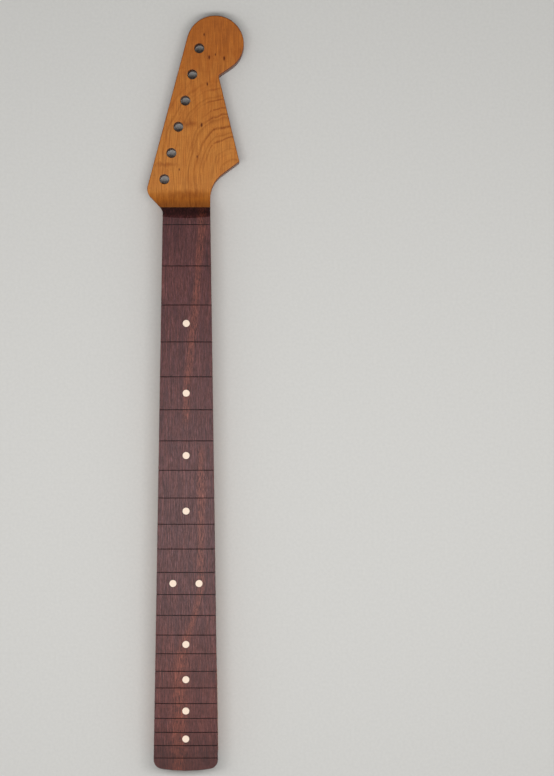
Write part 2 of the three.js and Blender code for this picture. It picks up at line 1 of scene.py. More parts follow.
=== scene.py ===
# %% [markdown]
# # An electric guitar neck
# This lesson dresses a bare, bolt-on guitar neck. Its maple is roasted, its rosewood fretboard is
# sawn for frets that aren't in yet, and a truss rod lies hidden inside. The shapes come from a CAD
# model, which is loaded first and never changed. What we add is what a luthier's hands add: softened
# edges, real wood, and light.

import json
import math

import bmesh
import bpy
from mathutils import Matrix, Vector


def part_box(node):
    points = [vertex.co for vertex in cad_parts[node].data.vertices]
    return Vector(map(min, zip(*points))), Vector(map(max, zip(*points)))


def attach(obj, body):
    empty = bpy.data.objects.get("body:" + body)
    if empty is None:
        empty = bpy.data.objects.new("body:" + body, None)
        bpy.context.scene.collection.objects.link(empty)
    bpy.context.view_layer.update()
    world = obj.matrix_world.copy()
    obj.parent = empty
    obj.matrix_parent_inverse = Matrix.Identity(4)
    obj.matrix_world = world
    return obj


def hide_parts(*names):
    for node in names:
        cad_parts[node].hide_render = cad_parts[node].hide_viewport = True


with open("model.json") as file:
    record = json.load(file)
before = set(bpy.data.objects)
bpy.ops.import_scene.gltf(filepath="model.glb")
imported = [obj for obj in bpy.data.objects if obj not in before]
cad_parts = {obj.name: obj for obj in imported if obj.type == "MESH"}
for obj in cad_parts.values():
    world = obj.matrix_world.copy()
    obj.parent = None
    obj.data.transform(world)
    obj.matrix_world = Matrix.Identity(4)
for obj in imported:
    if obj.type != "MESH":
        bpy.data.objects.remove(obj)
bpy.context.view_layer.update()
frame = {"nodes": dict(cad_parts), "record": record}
nodes = frame["nodes"]
MM = 0.001

# %% [markdown]
# ## The camera
# The neck was photographed from straight above with a long lens, a little past its middle, so that
# the far walls of its holes just show. The place and lean below were worked out from the spacing
# of the saw kerfs. A long lens keeps the two ends of a long object at one scale.

# %% Place the camera
CAMERA_PLACE = Vector((79.45, 178.05, 2625.45)) * MM
CAMERA_LEAN_DEGREES = 2.335
FRAME_HEIGHT_PIXELS = 776
FOCAL_LENGTH_PIXELS = 2974.1
SENSOR_LONG_SIDE = 36
FURTHEST_SEEN = 20

lens = bpy.data.cameras.new("copy_stand_camera")
lens.sensor_width = SENSOR_LONG_SIDE
lens.lens = FOCAL_LENGTH_PIXELS / FRAME_HEIGHT_PIXELS * SENSOR_LONG_SIDE
lens.clip_end = FURTHEST_SEEN
camera = bpy.data.objects.new("copy_stand_camera", lens)
camera.location = CAMERA_PLACE
camera.rotation_euler = (math.radians(CAMERA_LEAN_DEGREES), 0, 0)
bpy.context.scene.collection.objects.link(camera)
bpy.context.scene.camera = camera
print("lens in mm:", round(lens.lens, 1))

# %% [markdown]
# ## Places along the neck
# The wood's figure is drawn in places of its own, such as the nut line. They are read from the CAD
# nodes, so that the grain follows the model if its sizes change. Most places are written as
# millimetres up from the nut line, towards the headstock's tip, and out from the centreline,
# towards the treble side.

# %% Measure the neck
RAMP_LENGTH = 16 * MM
HEADSTOCK_FACE_Z = 14.3 * MM
SCREW_ACROSS = 38.1 * MM
SCREW_ALONG = 50.8 * MM

board_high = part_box("fretboard")[1]
nut_low, nut_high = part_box("truss_adjusting_nut")
NUT_Y = board_high.y - RAMP_LENGTH
openings = [opening for opening in frame["record"]["physics"]["openings"]
            if opening["name"].startswith("tuner")]
tuner_holes = [(Vector(opening["box_m"][0]) + Vector(opening["box_m"][1])) / 2
               for opening in openings]
screw_holes = [Vector((side * SCREW_ACROSS, end * SCREW_ALONG, 0)) / 2
               for side in (-1, 1) for end in (-1, 1)]
print("nut line at", round(NUT_Y / MM, 2), "mm, holes:", len(tuner_holes), len(screw_holes))


# %% [markdown]
# ## Helpers for colour and for nodes
# A colour picked on a screen is an sRGB hex value, and Blender's shaders want it linear, so one
# function turns it. A layer of figure isn't a colour of its own: it keeps a share of the red, green
# and blue below it, which is a tint. A third function adds a shader node with its settings and its
# links in one call, which keeps each material readable from top to bottom.

# %% A colour from its hex value
def colour(hex_value):
    """A linear RGBA colour from an sRGB hex value such as "#b4743a"."""
    channels = [int(hex_value[i : i + 2], 16) / 255 for i in (1, 3, 5)]
    curve = [c / 12.92 if c <= 0.04045 else ((c + 0.055) / 1.055) ** 2.4 for c in channels]
    return (*curve, 1.0)


def tint(red, green, blue):
    """What a layer leaves of the red, green and blue below it. Above 1 it lightens them."""
    return (red, green, blue, 1.0)


def grey(share):
    """A tint that darkens or lightens without changing the hue."""
    return tint(share, share, share)


def mm(*sizes):
    """Millimetres as Blender's metres."""
    return [size * MM for size in sizes]


print("a mid grey in linear light:", round(colour("#808080")[0], 3))


# %% A node with its settings and links
def add(tree, kind, inputs=(), stops=(), **settings):
    """Adds a node and returns it.

    inputs are numbers, colours, sockets or nodes, in the order of the node's own inputs or, in a
    dictionary, under their names. A node stands for its first output. stops are the places and
    colours of a colour ramp.
    """
    made = tree.nodes.new("ShaderNode" + kind)
    for name, value in settings.items():
        setattr(made, name, value)
    for name, value in inputs.items() if isinstance(inputs, dict) else enumerate(inputs):
        source = value.outputs[0] if isinstance(value, bpy.types.Node) else value
        if isinstance(source, bpy.types.NodeSocket):
            tree.links.new(source, made.inputs[name])
        else:
            made.inputs[name].default_value = source
    if stops:
        ramp = made.color_ramp
        while len(ramp.elements) < len(stops):
            ramp.elements.new(1)
        for element, (position, value) in zip(ramp.elements, stops):
            element.position, element.color = position, value
    return made


# A MapRange node with this setting is a soft step: it reads from, to, and what it gives at each.
SOFT = {"interpolation_type": "SMOOTHSTEP"}


# %% Several masks as one
def joined(tree, operation, parts):
    """Masks joined by one sum: MULTIPLY is where all are, MINIMUM and MAXIMUM the least and most."""
    whole = parts[0]
    for part in parts[1:]:
        whole = add(tree, "Math", [whole, part], operation=operation)
    return whole


# %% A material to start from
def finish(name, **constants):
    """A material, its nodes and its shader. constants are the shader's own fixed values."""
    made = bpy.data.materials.new(name)
    made.use_nodes = True
    shader = made.node_tree.nodes["Principled BSDF"]
    for socket, value in constants.items():
        shader.inputs[socket.replace("_", " ")].default_value = value
    print("material:", name)
    return made, made.node_tree, shader


# %% [markdown]
# ## Grain that fills the block
# A photograph of wood wrapped round the neck would stretch on its carved back and show no end
# grain. A solid pattern reads each place in the block instead, so every cut through it shows what a
# saw would. Blender's noise gives such patterns. Its cells are drawn out along the neck as fibres
# are, and each size is written as the real one in millimetres. Real grain is never quite straight,
# so the place itself is swayed a little before most patterns read it.

# %% Noise with cells of a real size
NOISE_MEAN = 0.5
NOISE_SPAN = (0.3, 0.7)


def per_mm(across, along, deep):
    """The scale that makes a unit pattern as large as these sizes in millimetres."""
    return [1 / (size * MM) for size in (across, along, deep)]


def grain(tree, where, size, detail=2.0, roughness=0.55):
    """Noise whose cells are about size millimetres across, along and deep in the neck."""
    scaled = add(tree, "Mapping", {"Vector": where, "Scale": per_mm(*size)})
    return add(tree, "TexNoise", {"Vector": scaled, "Scale": 1.0, "Detail": detail,
                                  "Roughness": roughness})


def swayed(tree, where, size, sway):
    """The place, moved to and fro over sway millimetres in slow waves of this size."""
    waves = grain(tree, where, size, detail=0.0)
    centred = add(tree, "VectorMath", [waves.outputs["Color"], [NOISE_MEAN] * 3],
                  operation="SUBTRACT")
    moved = add(tree, "VectorMath", {0: centred, "Scale": sway * MM}, operation="SCALE")
    return add(tree, "VectorMath", [where, moved], operation="ADD")


print("cells of 1 mm need a scale of", round(per_mm(1, 1, 1)[0]))

# %% [markdown]
# ## Roasted maple
# The shaft and headstock are flame maple, baked without air, then sanded and oiled. Baking turns it
# caramel brown right through. The oil has soaked in, so it is satin: its highlights are wide and
# dim, and its reflection is set to about half of a varnish's. What makes it look like wood and not
# like paint is figure in layers, from growth rings down to flecks, and each gets a cell of its own.
# Some marks belong to the front or the back of the headstock alone, so the first thing the material
# measures is how far behind its face a place lies.

# %% Start the maple
MAPLE_EDGE = 0.9 * MM
BACK_STARTS_SHARE = 0.7

maple, tree, maple_shader = finish("oiled_roasted_flame_maple", IOR=1.5, Specular_IOR_Level=0.24)
place = add(tree, "TexCoord").outputs["Object"]
spot = add(tree, "SeparateXYZ", [place])
up = add(tree, "Math", [spot.outputs["Y"], NUT_Y], operation="SUBTRACT")
behind = add(tree, "MapRange", [spot.outputs["Z"], HEADSTOCK_FACE_Z * BACK_STARTS_SHARE, 0.0], **SOFT)
in_front = add(tree, "Math", [1.0, behind], operation="SUBTRACT")
bent = swayed(tree, place, (8, 18, 8), 4)
bent_spot = add(tree, "SeparateXYZ", [bent])
bent_up = add(tree, "Math", [bent_spot.outputs["Y"], NUT_Y], operation="SUBTRACT")
print("back of the headstock starts at", round(HEADSTOCK_FACE_Z * BACK_STARTS_SHARE / MM, 1), "mm")

# %% [markdown]
# ## Growth rings
# Where the headstock's flat face cuts the growth rings, they close in arches. A place's ring is its
# distance from a line beside the treble edge, bent so that the arches are squarer than circles.
# The crest of each arch is toothed, because the saw crosses the fibres there, and towards the tip
# the arches die away. Blender's wave texture also makes rings, but its rings are true circles.

# %% How far each place is from the rings' heart
ARCH_CENTRE_X = 42 * MM
ARCH_START = 39 * MM
ARCH_SQUASH = 0.7
ARCH_POWER = 2.5
RING_LEAN = 0.35

rise = add(tree, "Math", [bent_spot.outputs["Y"], NUT_Y + ARCH_START], operation="SUBTRACT")
rise = add(tree, "Math", [rise, 0.0], operation="MAXIMUM")
rise = add(tree, "Math", [rise, ARCH_SQUASH], operation="MULTIPLY")
beside = add(tree, "Math", [bent_spot.outputs["X"], ARCH_CENTRE_X], operation="SUBTRACT")
beside = add(tree, "Math", [beside], operation="ABSOLUTE")
legs = [add(tree, "Math", [leg, ARCH_POWER], operation="POWER") for leg in (rise, beside)]
reach = add(tree, "Math", [add(tree, "Math", legs, operation="ADD"), 1 / ARCH_POWER],
            operation="POWER")
lean = add(tree, "Math", [spot.outputs["Z"], HEADSTOCK_FACE_Z], operation="SUBTRACT")
reach = add(tree, "Math", [lean, RING_LEAN, reach], operation="MULTIPLY_ADD")
print("arches start", ARCH_START / MM, "mm past the nut line")

# %% Teeth on the crests
CREST_SHARES = (0.2, 0.75)
TEETH = (0.26, 1.8, 0.8)
TEETH_DEPTH = 1.4 * MM
CALM_TIP = mm(112, 136)
CALM_LEAVES = 0.15

crest = add(tree, "MapRange", [add(tree, "Math", [rise, reach], operation="DIVIDE"), *CREST_SHARES],
            **SOFT)
teeth = add(tree, "Math", [grain(tree, place, TEETH, detail=1.0), NOISE_MEAN], operation="SUBTRACT")
teeth = add(tree, "Math", [teeth, crest], operation="MULTIPLY")
reach = add(tree, "Math", [teeth, TEETH_DEPTH, reach], operation="MULTIPLY_ADD")
calm = add(tree, "MapRange", [up, *CALM_TIP, 1.0, CALM_LEAVES], **SOFT)
crest = add(tree, "Math", [crest, calm], operation="MULTIPLY")
print("teeth up to", TEETH_DEPTH / MM, "mm deep")

# %% [markdown]
# ## Fine and strong rings
# A noise of one dimension that reads the distance gives uneven rings that still run side by side,
# as a plain wave can't. Half a dozen strong rings stand out on the treble side of the face, and
# they are broken up, since no ring stays dark all the way.

# %% Fine rings
FINE_RING = 2.4 * MM
RINGS_GROW = mm(-40, 60)

count = add(tree, "Math", [reach, FINE_RING], operation="DIVIDE")
fine_rings = add(tree, "TexNoise", {"W": count, "Scale": 1.0, "Detail": 2.0},
                 noise_dimensions="1D")
fine_ring_tone = add(tree, "ValToRGB", [fine_rings], [
    (0.32, tint(0.84, 0.78, 0.68)), (0.46, grey(1.0)), (0.70, grey(1.05))])
ringed = joined(tree, "MULTIPLY", [
    calm,
    add(tree, "MapRange", [up, *RINGS_GROW, 0.45, 1.0], **SOFT),
    add(tree, "MapRange", [in_front, 0.0, 1.0, 0.35, 1.0], **SOFT)])
print("fine rings every", FINE_RING / MM, "mm or so")

# %% Strong rings
STRONG_RINGS = mm(27.4, 34.5, 42.0, 46.2, 52.0, 58.5)
STRONG_RING_HALF = 0.8 * MM
STRONG_ON_TREBLE = mm(12, 24)
PATCHES = (1.8, 2.8, 1.8)
PATCH_SPAN = (0.30, 0.52)

gaps = [add(tree, "Math", [reach, radius], operation="SUBTRACT") for radius in STRONG_RINGS]
gaps = [add(tree, "Math", [gap], operation="ABSOLUTE") for gap in gaps]
patchy = add(tree, "MapRange", [grain(tree, place, PATCHES), *PATCH_SPAN], **SOFT)
strong = joined(tree, "MULTIPLY", [
    add(tree, "MapRange", [joined(tree, "MINIMUM", gaps), STRONG_RING_HALF, 0.0], **SOFT),
    crest, patchy, in_front,
    add(tree, "MapRange", [spot.outputs["X"], *STRONG_ON_TREBLE, 0.25, 1.0], **SOFT)])
strong_tone = add(tree, "ValToRGB", [strong], [(0.0, grey(1.0)), (1.0, tint(0.60, 0.45, 0.31))])
print("strong rings:", len(STRONG_RINGS))

# %% [markdown]
# ## Flame
# Flame is grain that waves as it grows, so that light and dark bands cross the fibres. It is strong
# on the lower shaft, most of all on the bass half of its back, and faint elsewhere. The headstock's
# back has wider bands that lean. Both are noise with short, wide cells, and both read one swayed
# place, or their bands would look combed.

# %% Flame on the shaft
FLAME = (34, 4.2, 34)
FLAME_BELOW_NUT = mm(-120, -230)
FLAME_ABOVE_HEEL = mm(-392, -350)
FLAME_BASS_SIDE = mm(12, -6)
FLAME_SHARE = 0.8
FLAME_EVERYWHERE = 0.12

waved = swayed(tree, place, (14, 24, 14), 6)
flame = grain(tree, waved, FLAME, detail=1.0, roughness=0.45)
flame_tone = add(tree, "ValToRGB", [flame], [
    (0.32, tint(0.76, 0.62, 0.46)), (0.48, grey(1.0)), (0.68, grey(1.08))])
flamed = joined(tree, "MULTIPLY", [
    add(tree, "MapRange", [up, *FLAME_BELOW_NUT], **SOFT),
    add(tree, "MapRange", [up, *FLAME_ABOVE_HEEL], **SOFT),
    add(tree, "MapRange", [spot.outputs["X"], *FLAME_BASS_SIDE, 0.3, 1.0], **SOFT)])
flamed = add(tree, "Math", [flamed, FLAME_SHARE, FLAME_EVERYWHERE], operation="MULTIPLY_ADD")
print("flame bands every", FLAME[1], "mm or so")

# %% Leaning bands on the headstock's back
BANDS = (40, 5.6, 40)
BAND_LEAN = 0.2
BANDS_ABOVE_NUT = mm(10, 35)
BANDS_FADE_TO_TIP = mm(150, 110)
BANDS_SHARE = 0.4
BANDS_EVERYWHERE = 0.06

slant = add(tree, "SeparateXYZ", [waved]).outputs["Y"]
slant = add(tree, "Math", [spot.outputs["X"], -BAND_LEAN, slant], operation="MULTIPLY_ADD")
slant = add(tree, "CombineXYZ", [spot.outputs["X"], slant, spot.outputs["Z"]])
bands = grain(tree, slant, BANDS, detail=1.0, roughness=0.4)
bands_tone = add(tree, "ValToRGB", [bands], [
    (0.32, tint(0.66, 0.54, 0.48)), (0.50, grey(0.97)), (0.68, grey(1.18))])
banded = joined(tree, "MULTIPLY", [
    add(tree, "MapRange", [up, *BANDS_ABOVE_NUT], **SOFT),
    add(tree, "MapRange", [up, *BANDS_FADE_TO_TIP, 0.35, 1.0], **SOFT),
    behind])
banded = add(tree, "Math", [banded, BANDS_SHARE, BANDS_EVERYWHERE], operation="MULTIPLY_ADD")
print("leaning bands every", BANDS[1], "mm or so")

# %% [markdown]
# ## Streaks, fibres and flecks
# Fibres run along the neck, so these cells are long and thin. Streaks are bundles of fibres, and
# flecks are the small dark dashes of maple's rays. Noise draws all three, for its cells vary as
# wood does, where a wave's wouldn't. Single fibres are a fiftieth of a millimetre wide, too fine to
# show, so they are drawn more than ten times as wide.

# %% Streaks, fibres and flecks
STREAKS = (0.64, 22, 6)
FIBRES = (0.28, 12, 2.8)
FLECKS = (0.18, 1.6, 0.4)

drawn = swayed(tree, place, (16, 70, 16), 5)
streak = grain(tree, drawn, STREAKS)
streak_tone = add(tree, "ValToRGB", [streak], [
    (0.30, tint(0.80, 0.73, 0.62)), (0.50, grey(1.0)), (0.70, grey(1.12))])
fibre = grain(tree, drawn, FIBRES, detail=0.0)
fibre_tone = add(tree, "ValToRGB", [fibre], [
    (0.30, tint(0.78, 0.70, 0.58)), (0.50, grey(1.0)), (0.70, grey(1.13))])
fleck = grain(tree, drawn, FLECKS, detail=0.0)
fleck_tone = add(tree, "ValToRGB", [fleck], [(0.22, tint(0.55, 0.42, 0.33)), (0.30, grey(1.0))])
print("maple nodes so far:", len(tree.nodes))

# %% [markdown]
# ## Marks placed one by one
# Some marks are this neck's own: small knots and dark flame on the headstock's face, lights and
# shades on its back, and a pale patch at its foot. They could be painted on a picture, but then
# they would stop at the surface. So each is an oval in the block with a soft rim, and a swayed
# place makes the larger ones ragged, as a mark in wood is.

# %% An oval mark
MARK_DEPTH = 6.0


def nearest(tree, where, marks, height):
    """How far into the nearest of some oval marks a place lies: 0 at its middle, 1 at its rim.

    A mark is its middle's place out from the centreline and up from the nut line, then its half
    width and half length, all in millimetres. height is the surface that they all lie on.
    """
    gaps = []
    for out, rise, half_width, half_length in marks:
        middle = (out * MM, NUT_Y + rise * MM, height)
        away = add(tree, "VectorMath", [where, middle], operation="SUBTRACT")
        away = add(tree, "Mapping", {"Vector": away,
                                     "Scale": per_mm(half_width, half_length, MARK_DEPTH)})
        gaps.append(add(tree, "VectorMath", [away], operation="LENGTH").outputs["Value"])
    return joined(tree, "MINIMUM", gaps)


# %% Knots and dark flame on the headstock's face
KNOTS = [
    (19.6, 149.2, 1.2, 2.6), (32.8, 148.3, 1.2, 2.6), (18.0, 125.5, 0.95, 2.1),
    (13.0, 89.3, 1.2, 2.6), (15.1, 169.5, 0.85, 1.8), (25.0, 151.7, 0.7, 1.6),
    (9.0, 61.2, 0.7, 1.6), (-6.7, 49.8, 0.7, 1.6),
]
DARK_FLAME = [(-19.0, 54.0, 13.0, 2.6), (3.0, 90.0, 12.0, 5.0), (0.0, 28.0, 30.0, 5.0)]

rippled = swayed(tree, place, (3.2, 6, 3.2), 5)
knot_tone = add(tree, "ValToRGB", [nearest(tree, place, KNOTS, HEADSTOCK_FACE_Z)], [
    (0.40, tint(0.28, 0.17, 0.10)), (1.0, grey(1.0))])
dark_flame_tone = add(tree, "ValToRGB", [nearest(tree, rippled, DARK_FLAME, HEADSTOCK_FACE_Z)], [
    (0.20, tint(0.72, 0.61, 0.48)), (1.0, grey(1.0))])
print("knots:", len(KNOTS))

# %% Shades and lights on the headstock's back, and a pale patch at its foot
BACK_SHADES = [
    (19.0, 100.0, 20.0, 17.0), (-5.0, 92.2, 10.0, 6.0), (37.0, 60.1, 17.0, 17.0),
    (25.0, 49.0, 18.0, 12.0), (10.0, 45.0, 22.0, 9.0), (-7.9, 36.8, 18.0, 5.5),
    (-23.9, 31.1, 11.0, 4.5), (24.6, 73.0, 22.0, 3.4), (22.7, 172.9, 5.0, 8.0),
]
BACK_LIGHTS = [
    (-0.6, 66.0, 24.0, 9.0), (-15.0, 103.8, 9.0, 6.0), (-24.0, 54.0, 10.0, 7.0),
    (20.0, 79.0, 24.0, 3.4), (-21.0, 64.5, 8.0, 6.0), (36.0, 158.0, 9.0, 14.0),
]
PALE_PATCH = [(1.7, 3.0, 10.0, 17.0)]
PALE_PATCH_Z = 2 * MM

shade_tone = add(tree, "ValToRGB", [nearest(tree, rippled, BACK_SHADES, 0.0)], [
    (0.15, tint(0.62, 0.49, 0.44)), (1.0, grey(1.0))])
light_tone = add(tree, "ValToRGB", [nearest(tree, rippled, BACK_LIGHTS, 0.0)], [
    (0.15, tint(1.26, 1.28, 1.24)), (1.0, grey(1.0))])
patch_tone = add(tree, "ValToRGB", [nearest(tree, bent, PALE_PATCH, PALE_PATCH_Z)], [
    (0.15, tint(1.20, 1.30, 1.50)), (1.0, grey(1.0))])
print("shades and lights:", len(BACK_SHADES), len(BACK_LIGHTS))

# %% [markdown]
# ## Lines that only the back has
# Minerals that the tree took up leave dark lines, and three of them cross the headstock's tip. Each
# is a straight line with a slope, and the bent place makes it wander. Down the shaft run two pale
# streaks of painted highlight, where the side lamps would shine on the rounded back, warmer wood
# lies between them, and a thin seam reaches the heel.

# %% Mineral lines, each by its place out and up, its slope and its strength
MINERAL_LINES = [(22.7, 143.2, 0.457, 1.0), (14.0, 143.2, 0.333, 0.5), (-2.0, 137.0, 0.31, 0.45)]
MINERAL_LINE_HALF = 1.3 * MM
MINERAL_LINES_START = mm(96, 122)

lines = []
for out, line_up, slope, strength in MINERAL_LINES:
    drop = add(tree, "Math", [bent_up, line_up * MM], operation="SUBTRACT")
    drop = add(tree, "Math", [drop, slope], operation="MULTIPLY")
    gap = add(tree, "Math", [bent_spot.outputs["X"], out * MM], operation="SUBTRACT")
    gap = add(tree, "Math", [gap, drop], operation="SUBTRACT")
    gap = add(tree, "Math", [gap], operation="ABSOLUTE")
    lines.append(add(tree, "MapRange", [gap, MINERAL_LINE_HALF, 0.0, 0.0, strength], **SOFT))
lined = joined(tree, "MULTIPLY", [
    joined(tree, "MAXIMUM", lines),
    add(tree, "MapRange", [up, *MINERAL_LINES_START], **SOFT), behind, patchy])
line_tone = add(tree, "ValToRGB", [lined], [(0.0, grey(1.0)), (1.0, tint(0.36, 0.26, 0.21))])
print("mineral lines:", len(MINERAL_LINES))

# %% Pale streaks of painted highlight, each by its place out and its strength
SHEEN_STREAKS = [(9.6, 1.0), (-7.9, 0.85)]
SHEEN_STREAK_RIM = mm(6, 1.5)
SHEEN_START = mm(12, -10)
SHEEN_GROW = mm(-20, -300)
SHEEN_END = mm(-390, -345)

below_nut = add(tree, "MapRange", [up, *SHEEN_START], **SOFT)
sheen_streaks = []
for out, strength in SHEEN_STREAKS:
    gap = add(tree, "Math", [bent_spot.outputs["X"], out * MM], operation="SUBTRACT")
    gap = add(tree, "Math", [gap], operation="ABSOLUTE")
    sheen_streaks.append(add(tree, "MapRange", [gap, *SHEEN_STREAK_RIM, 0.0, strength], **SOFT))
# The pale streaks are painted highlight: a paler, bluer colour in two bands down the shaft's back.
painted_sheen = joined(tree, "MULTIPLY", [
    joined(tree, "MAXIMUM", sheen_streaks), behind, below_nut,
    add(tree, "MapRange", [up, *SHEEN_GROW, 0.45, 1.0], **SOFT),
    add(tree, "MapRange", [up, *SHEEN_END, 0.15, 1.0], **SOFT)])
painted_sheen_tone = add(tree, "ValToRGB", [painted_sheen], [(0.0, grey(1.0)), (1.0, tint(1.34, 1.78, 3.20))])
print("pale streaks:", len(SHEEN_STREAKS))

# %% Warm wood between the painted highlights, and the seam
WARM_WOOD = tint(1.0, 0.98, 0.72)
SEAM_X = -5.7 * MM
SEAM_RIM = mm(0.9, 0.1)
SEAM_END = mm(-368, -384)
SEAM_WOOD = tint(0.76, 0.65, 0.52)

middle_x = (SHEEN_STREAKS[0][0] + SHEEN_STREAKS[1][0]) / 2 * MM
between = add(tree, "Math", [bent_spot.outputs["X"], middle_x], operation="SUBTRACT")
between = add(tree, "Math", [between], operation="ABSOLUTE")
between = joined(tree, "MULTIPLY", [
    add(tree, "MapRange", [between, *SHEEN_STREAK_RIM], **SOFT), behind, below_nut])
seam = add(tree, "Math", [bent_spot.outputs["X"], SEAM_X], operation="SUBTRACT")
seam = add(tree, "Math", [seam], operation="ABSOLUTE")
seam = joined(tree, "MULTIPLY", [
    add(tree, "MapRange", [seam, *SEAM_RIM], **SOFT),
    add(tree, "MapRange", [up, *SEAM_END], **SOFT), behind,
    add(tree, "MapRange", [patchy, 0.0, 1.0, 0.15, 1.0], **SOFT)])
print("warm wood round", round(middle_x / MM, 2), "mm, seam at", SEAM_X / MM, "mm")

# %% [markdown]
# ## A dark band and a swirl
# A dark band crosses the shaft's back a hand's breadth below the nut, darker on the bass side, and
# its ends follow the streaks. Beside it the grain swirls round a point on the bass edge, as it does
# where a branch began. The swirl is the one-dimensional noise again, read from that point.

# %% The dark band
BAND_TOP = mm(-58, -64)
BAND_FOOT = mm(-80, -68)
BAND_BASS_SIDE = mm(18, -16)
BAND_RAGGED = 5 * MM

ragged = add(tree, "Math", [streak, NOISE_MEAN], operation="SUBTRACT")
ragged = add(tree, "Math", [ragged, BAND_RAGGED, bent_up], operation="MULTIPLY_ADD")
dark_band = joined(tree, "MULTIPLY", [
    add(tree, "MapRange", [ragged, *BAND_TOP], **SOFT),
    add(tree, "MapRange", [ragged, *BAND_FOOT], **SOFT),
    add(tree, "MapRange", [spot.outputs["X"], *BAND_BASS_SIDE, 0.45, 1.0], **SOFT)])
dark_band_tone = add(tree, "ValToRGB", [dark_band], [
    (0.0, grey(1.0)), (1.0, tint(0.44, 0.33, 0.36))])
print("dark band from", BAND_TOP[0] / MM, "to", BAND_FOOT[0] / MM, "mm")

# %% The swirl
SWIRL_CENTRE = (-20 * MM, NUT_Y - 114 * MM, 0)
SWIRL_SQUASH = 0.58
SWIRL_RING = 3 * MM
SWIRL_RIM = mm(31, 18.6)
SWIRL_FOOT = mm(-118, -104)

swirl = add(tree, "VectorMath", [bent, SWIRL_CENTRE], operation="SUBTRACT")
swirl = add(tree, "VectorMath", [swirl, (1.0, SWIRL_SQUASH, 0.0)], operation="MULTIPLY")
swirl = add(tree, "VectorMath", [swirl], operation="LENGTH").outputs["Value"]
count = add(tree, "Math", [swirl, SWIRL_RING], operation="DIVIDE")
swirls = add(tree, "TexNoise", {"W": count, "Scale": 1.0, "Detail": 1.0}, noise_dimensions="1D")
swirl_tone = add(tree, "ValToRGB", [swirls], [(0.36, tint(0.80, 0.70, 0.56)), (0.60, grey(1.03))])
swirling = joined(tree, "MULTIPLY", [
    add(tree, "MapRange", [swirl, *SWIRL_RIM], **SOFT),
    add(tree, "MapRange", [up, *SWIRL_FOOT], **SOFT)])
print("maple nodes so far:", len(tree.nodes))

# %% [markdown]
# ## The maple's own tone
# The oven and the oil don't darken a neck evenly. Here the tone drifts from honey by the middle of
# the shaft to a deep brown on the headstock's back and at the heel. A single number, the darkness,
# goes up along those stretches, with soft clouds over it, and one colour ramp turns it to wood.
# The layers of figure then tint that tone in turn.

# %% How dark the wood is, from the heel to the tip
CLOUDS = (5.2, 12, 5.2)
CLOUD_DEPTH = 0.07
DARKER_STRETCHES = [(0.35, mm(-60, 45)), (0.6, mm(-425, -468)), (0.31, mm(60, 200))]
HEADSTOCK_BACK = mm(10, 90)
HEADSTOCK_BACK_TIP = mm(120, 165)
HEADSTOCK_BACK_SHARE = 0.45
ABOVE_BAND_TOP = mm(-5, -25)
ABOVE_BAND_FOOT = mm(-62, -52)
ABOVE_BAND_SHARE = 0.3

clouds = grain(tree, place, CLOUDS)
dark = add(tree, "MapRange", [clouds, *NOISE_SPAN, -CLOUD_DEPTH, CLOUD_DEPTH], **SOFT)
for share, stretch in DARKER_STRETCHES:
    darker = add(tree, "MapRange", [up, *stretch], **SOFT)
    dark = add(tree, "Math", [darker, share, dark], operation="MULTIPLY_ADD")
dark_back = joined(tree, "MULTIPLY", [
    add(tree, "MapRange", [up, *HEADSTOCK_BACK], **SOFT), behind,
    add(tree, "MapRange", [up, *HEADSTOCK_BACK_TIP, 1.0, 0.7], **SOFT)])
dark = add(tree, "Math", [dark_back, HEADSTOCK_BACK_SHARE, dark], operation="MULTIPLY_ADD")
above_band = joined(tree, "MULTIPLY", [
    add(tree, "MapRange", [up, *ABOVE_BAND_TOP], **SOFT),
    add(tree, "MapRange", [up, *ABOVE_BAND_FOOT], **SOFT), behind])
dark = add(tree, "Math", [above_band, ABOVE_BAND_SHARE, dark], operation="MULTIPLY_ADD")
print("darker stretches:", len(DARKER_STRETCHES) + 2)

# %% From darkness to wood
tone = add(tree, "ValToRGB", [dark], [
    (0.0, colour("#bf8039")), (0.35, colour("#bb7631")), (0.6, colour("#ad6323")),
    (1.0, colour("#80431c"))])
print("maple nodes so far:", len(tree.nodes))

# %% Lay the figure over the tone, each layer with its share
plain = add(tree, "MapRange", [in_front, 0.0, 1.0, 0.5, 0.8], **SOFT)
layers = [
    (fine_ring_tone, ringed), (swirl_tone, swirling), (flame_tone, flamed), (bands_tone, banded),
    (strong_tone, 1.0), (streak_tone, plain), (fibre_tone, plain), (fleck_tone, 0.8),
    (knot_tone, 1.0), (dark_flame_tone, 1.0), (line_tone, 1.0), (dark_band_tone, 1.0),
    (painted_sheen_tone, 1.0), (patch_tone, behind), (shade_tone, behind), (light_tone, behind),
    (WARM_WOOD, between), (SEAM_WOOD, seam),
]
for layer, share in layers:
    tone = add(tree, "MixRGB", [share, tone, layer], blend_type="MULTIPLY")
print("layers of figure:", len(layers))

# %% [markdown]
# ## Painted shade on the sides, painted highlight on ridges, scorched holes
# A few things follow the shape and not the block. The shaft's sides get painted shade: their colour
# is darker than the belly's, most of all near the dark band. The ridges get a painted highlight, a
# paler colour along the V behind the nut and the rim of the heel. A Bevel node finds them, since it
# gives the surface's direction as if each edge were rounded, and near a ridge that leaves the true
# direction. The same rounded direction lights those edges softly, also where real bevels would fold.
# The drill has scorched the four screw holes.

# %% The shaft's sides, in painted shade
NEAR_BAND_BELOW = mm(-190, -110)
NEAR_BAND_ABOVE = mm(0, -50)
NEAR_BAND_SHARE = 0.9

facing = add(tree, "SeparateXYZ", [add(tree, "TexCoord").outputs["Normal"]])
sideways = add(tree, "Math", [facing.outputs["X"]], operation="ABSOLUTE")
# Painted shade: the more a surface faces sideways, the darker its colour.
side = add(tree, "ValToRGB", [sideways], [(0.35, grey(1.0)), (0.85, tint(0.68, 0.52, 0.35))])
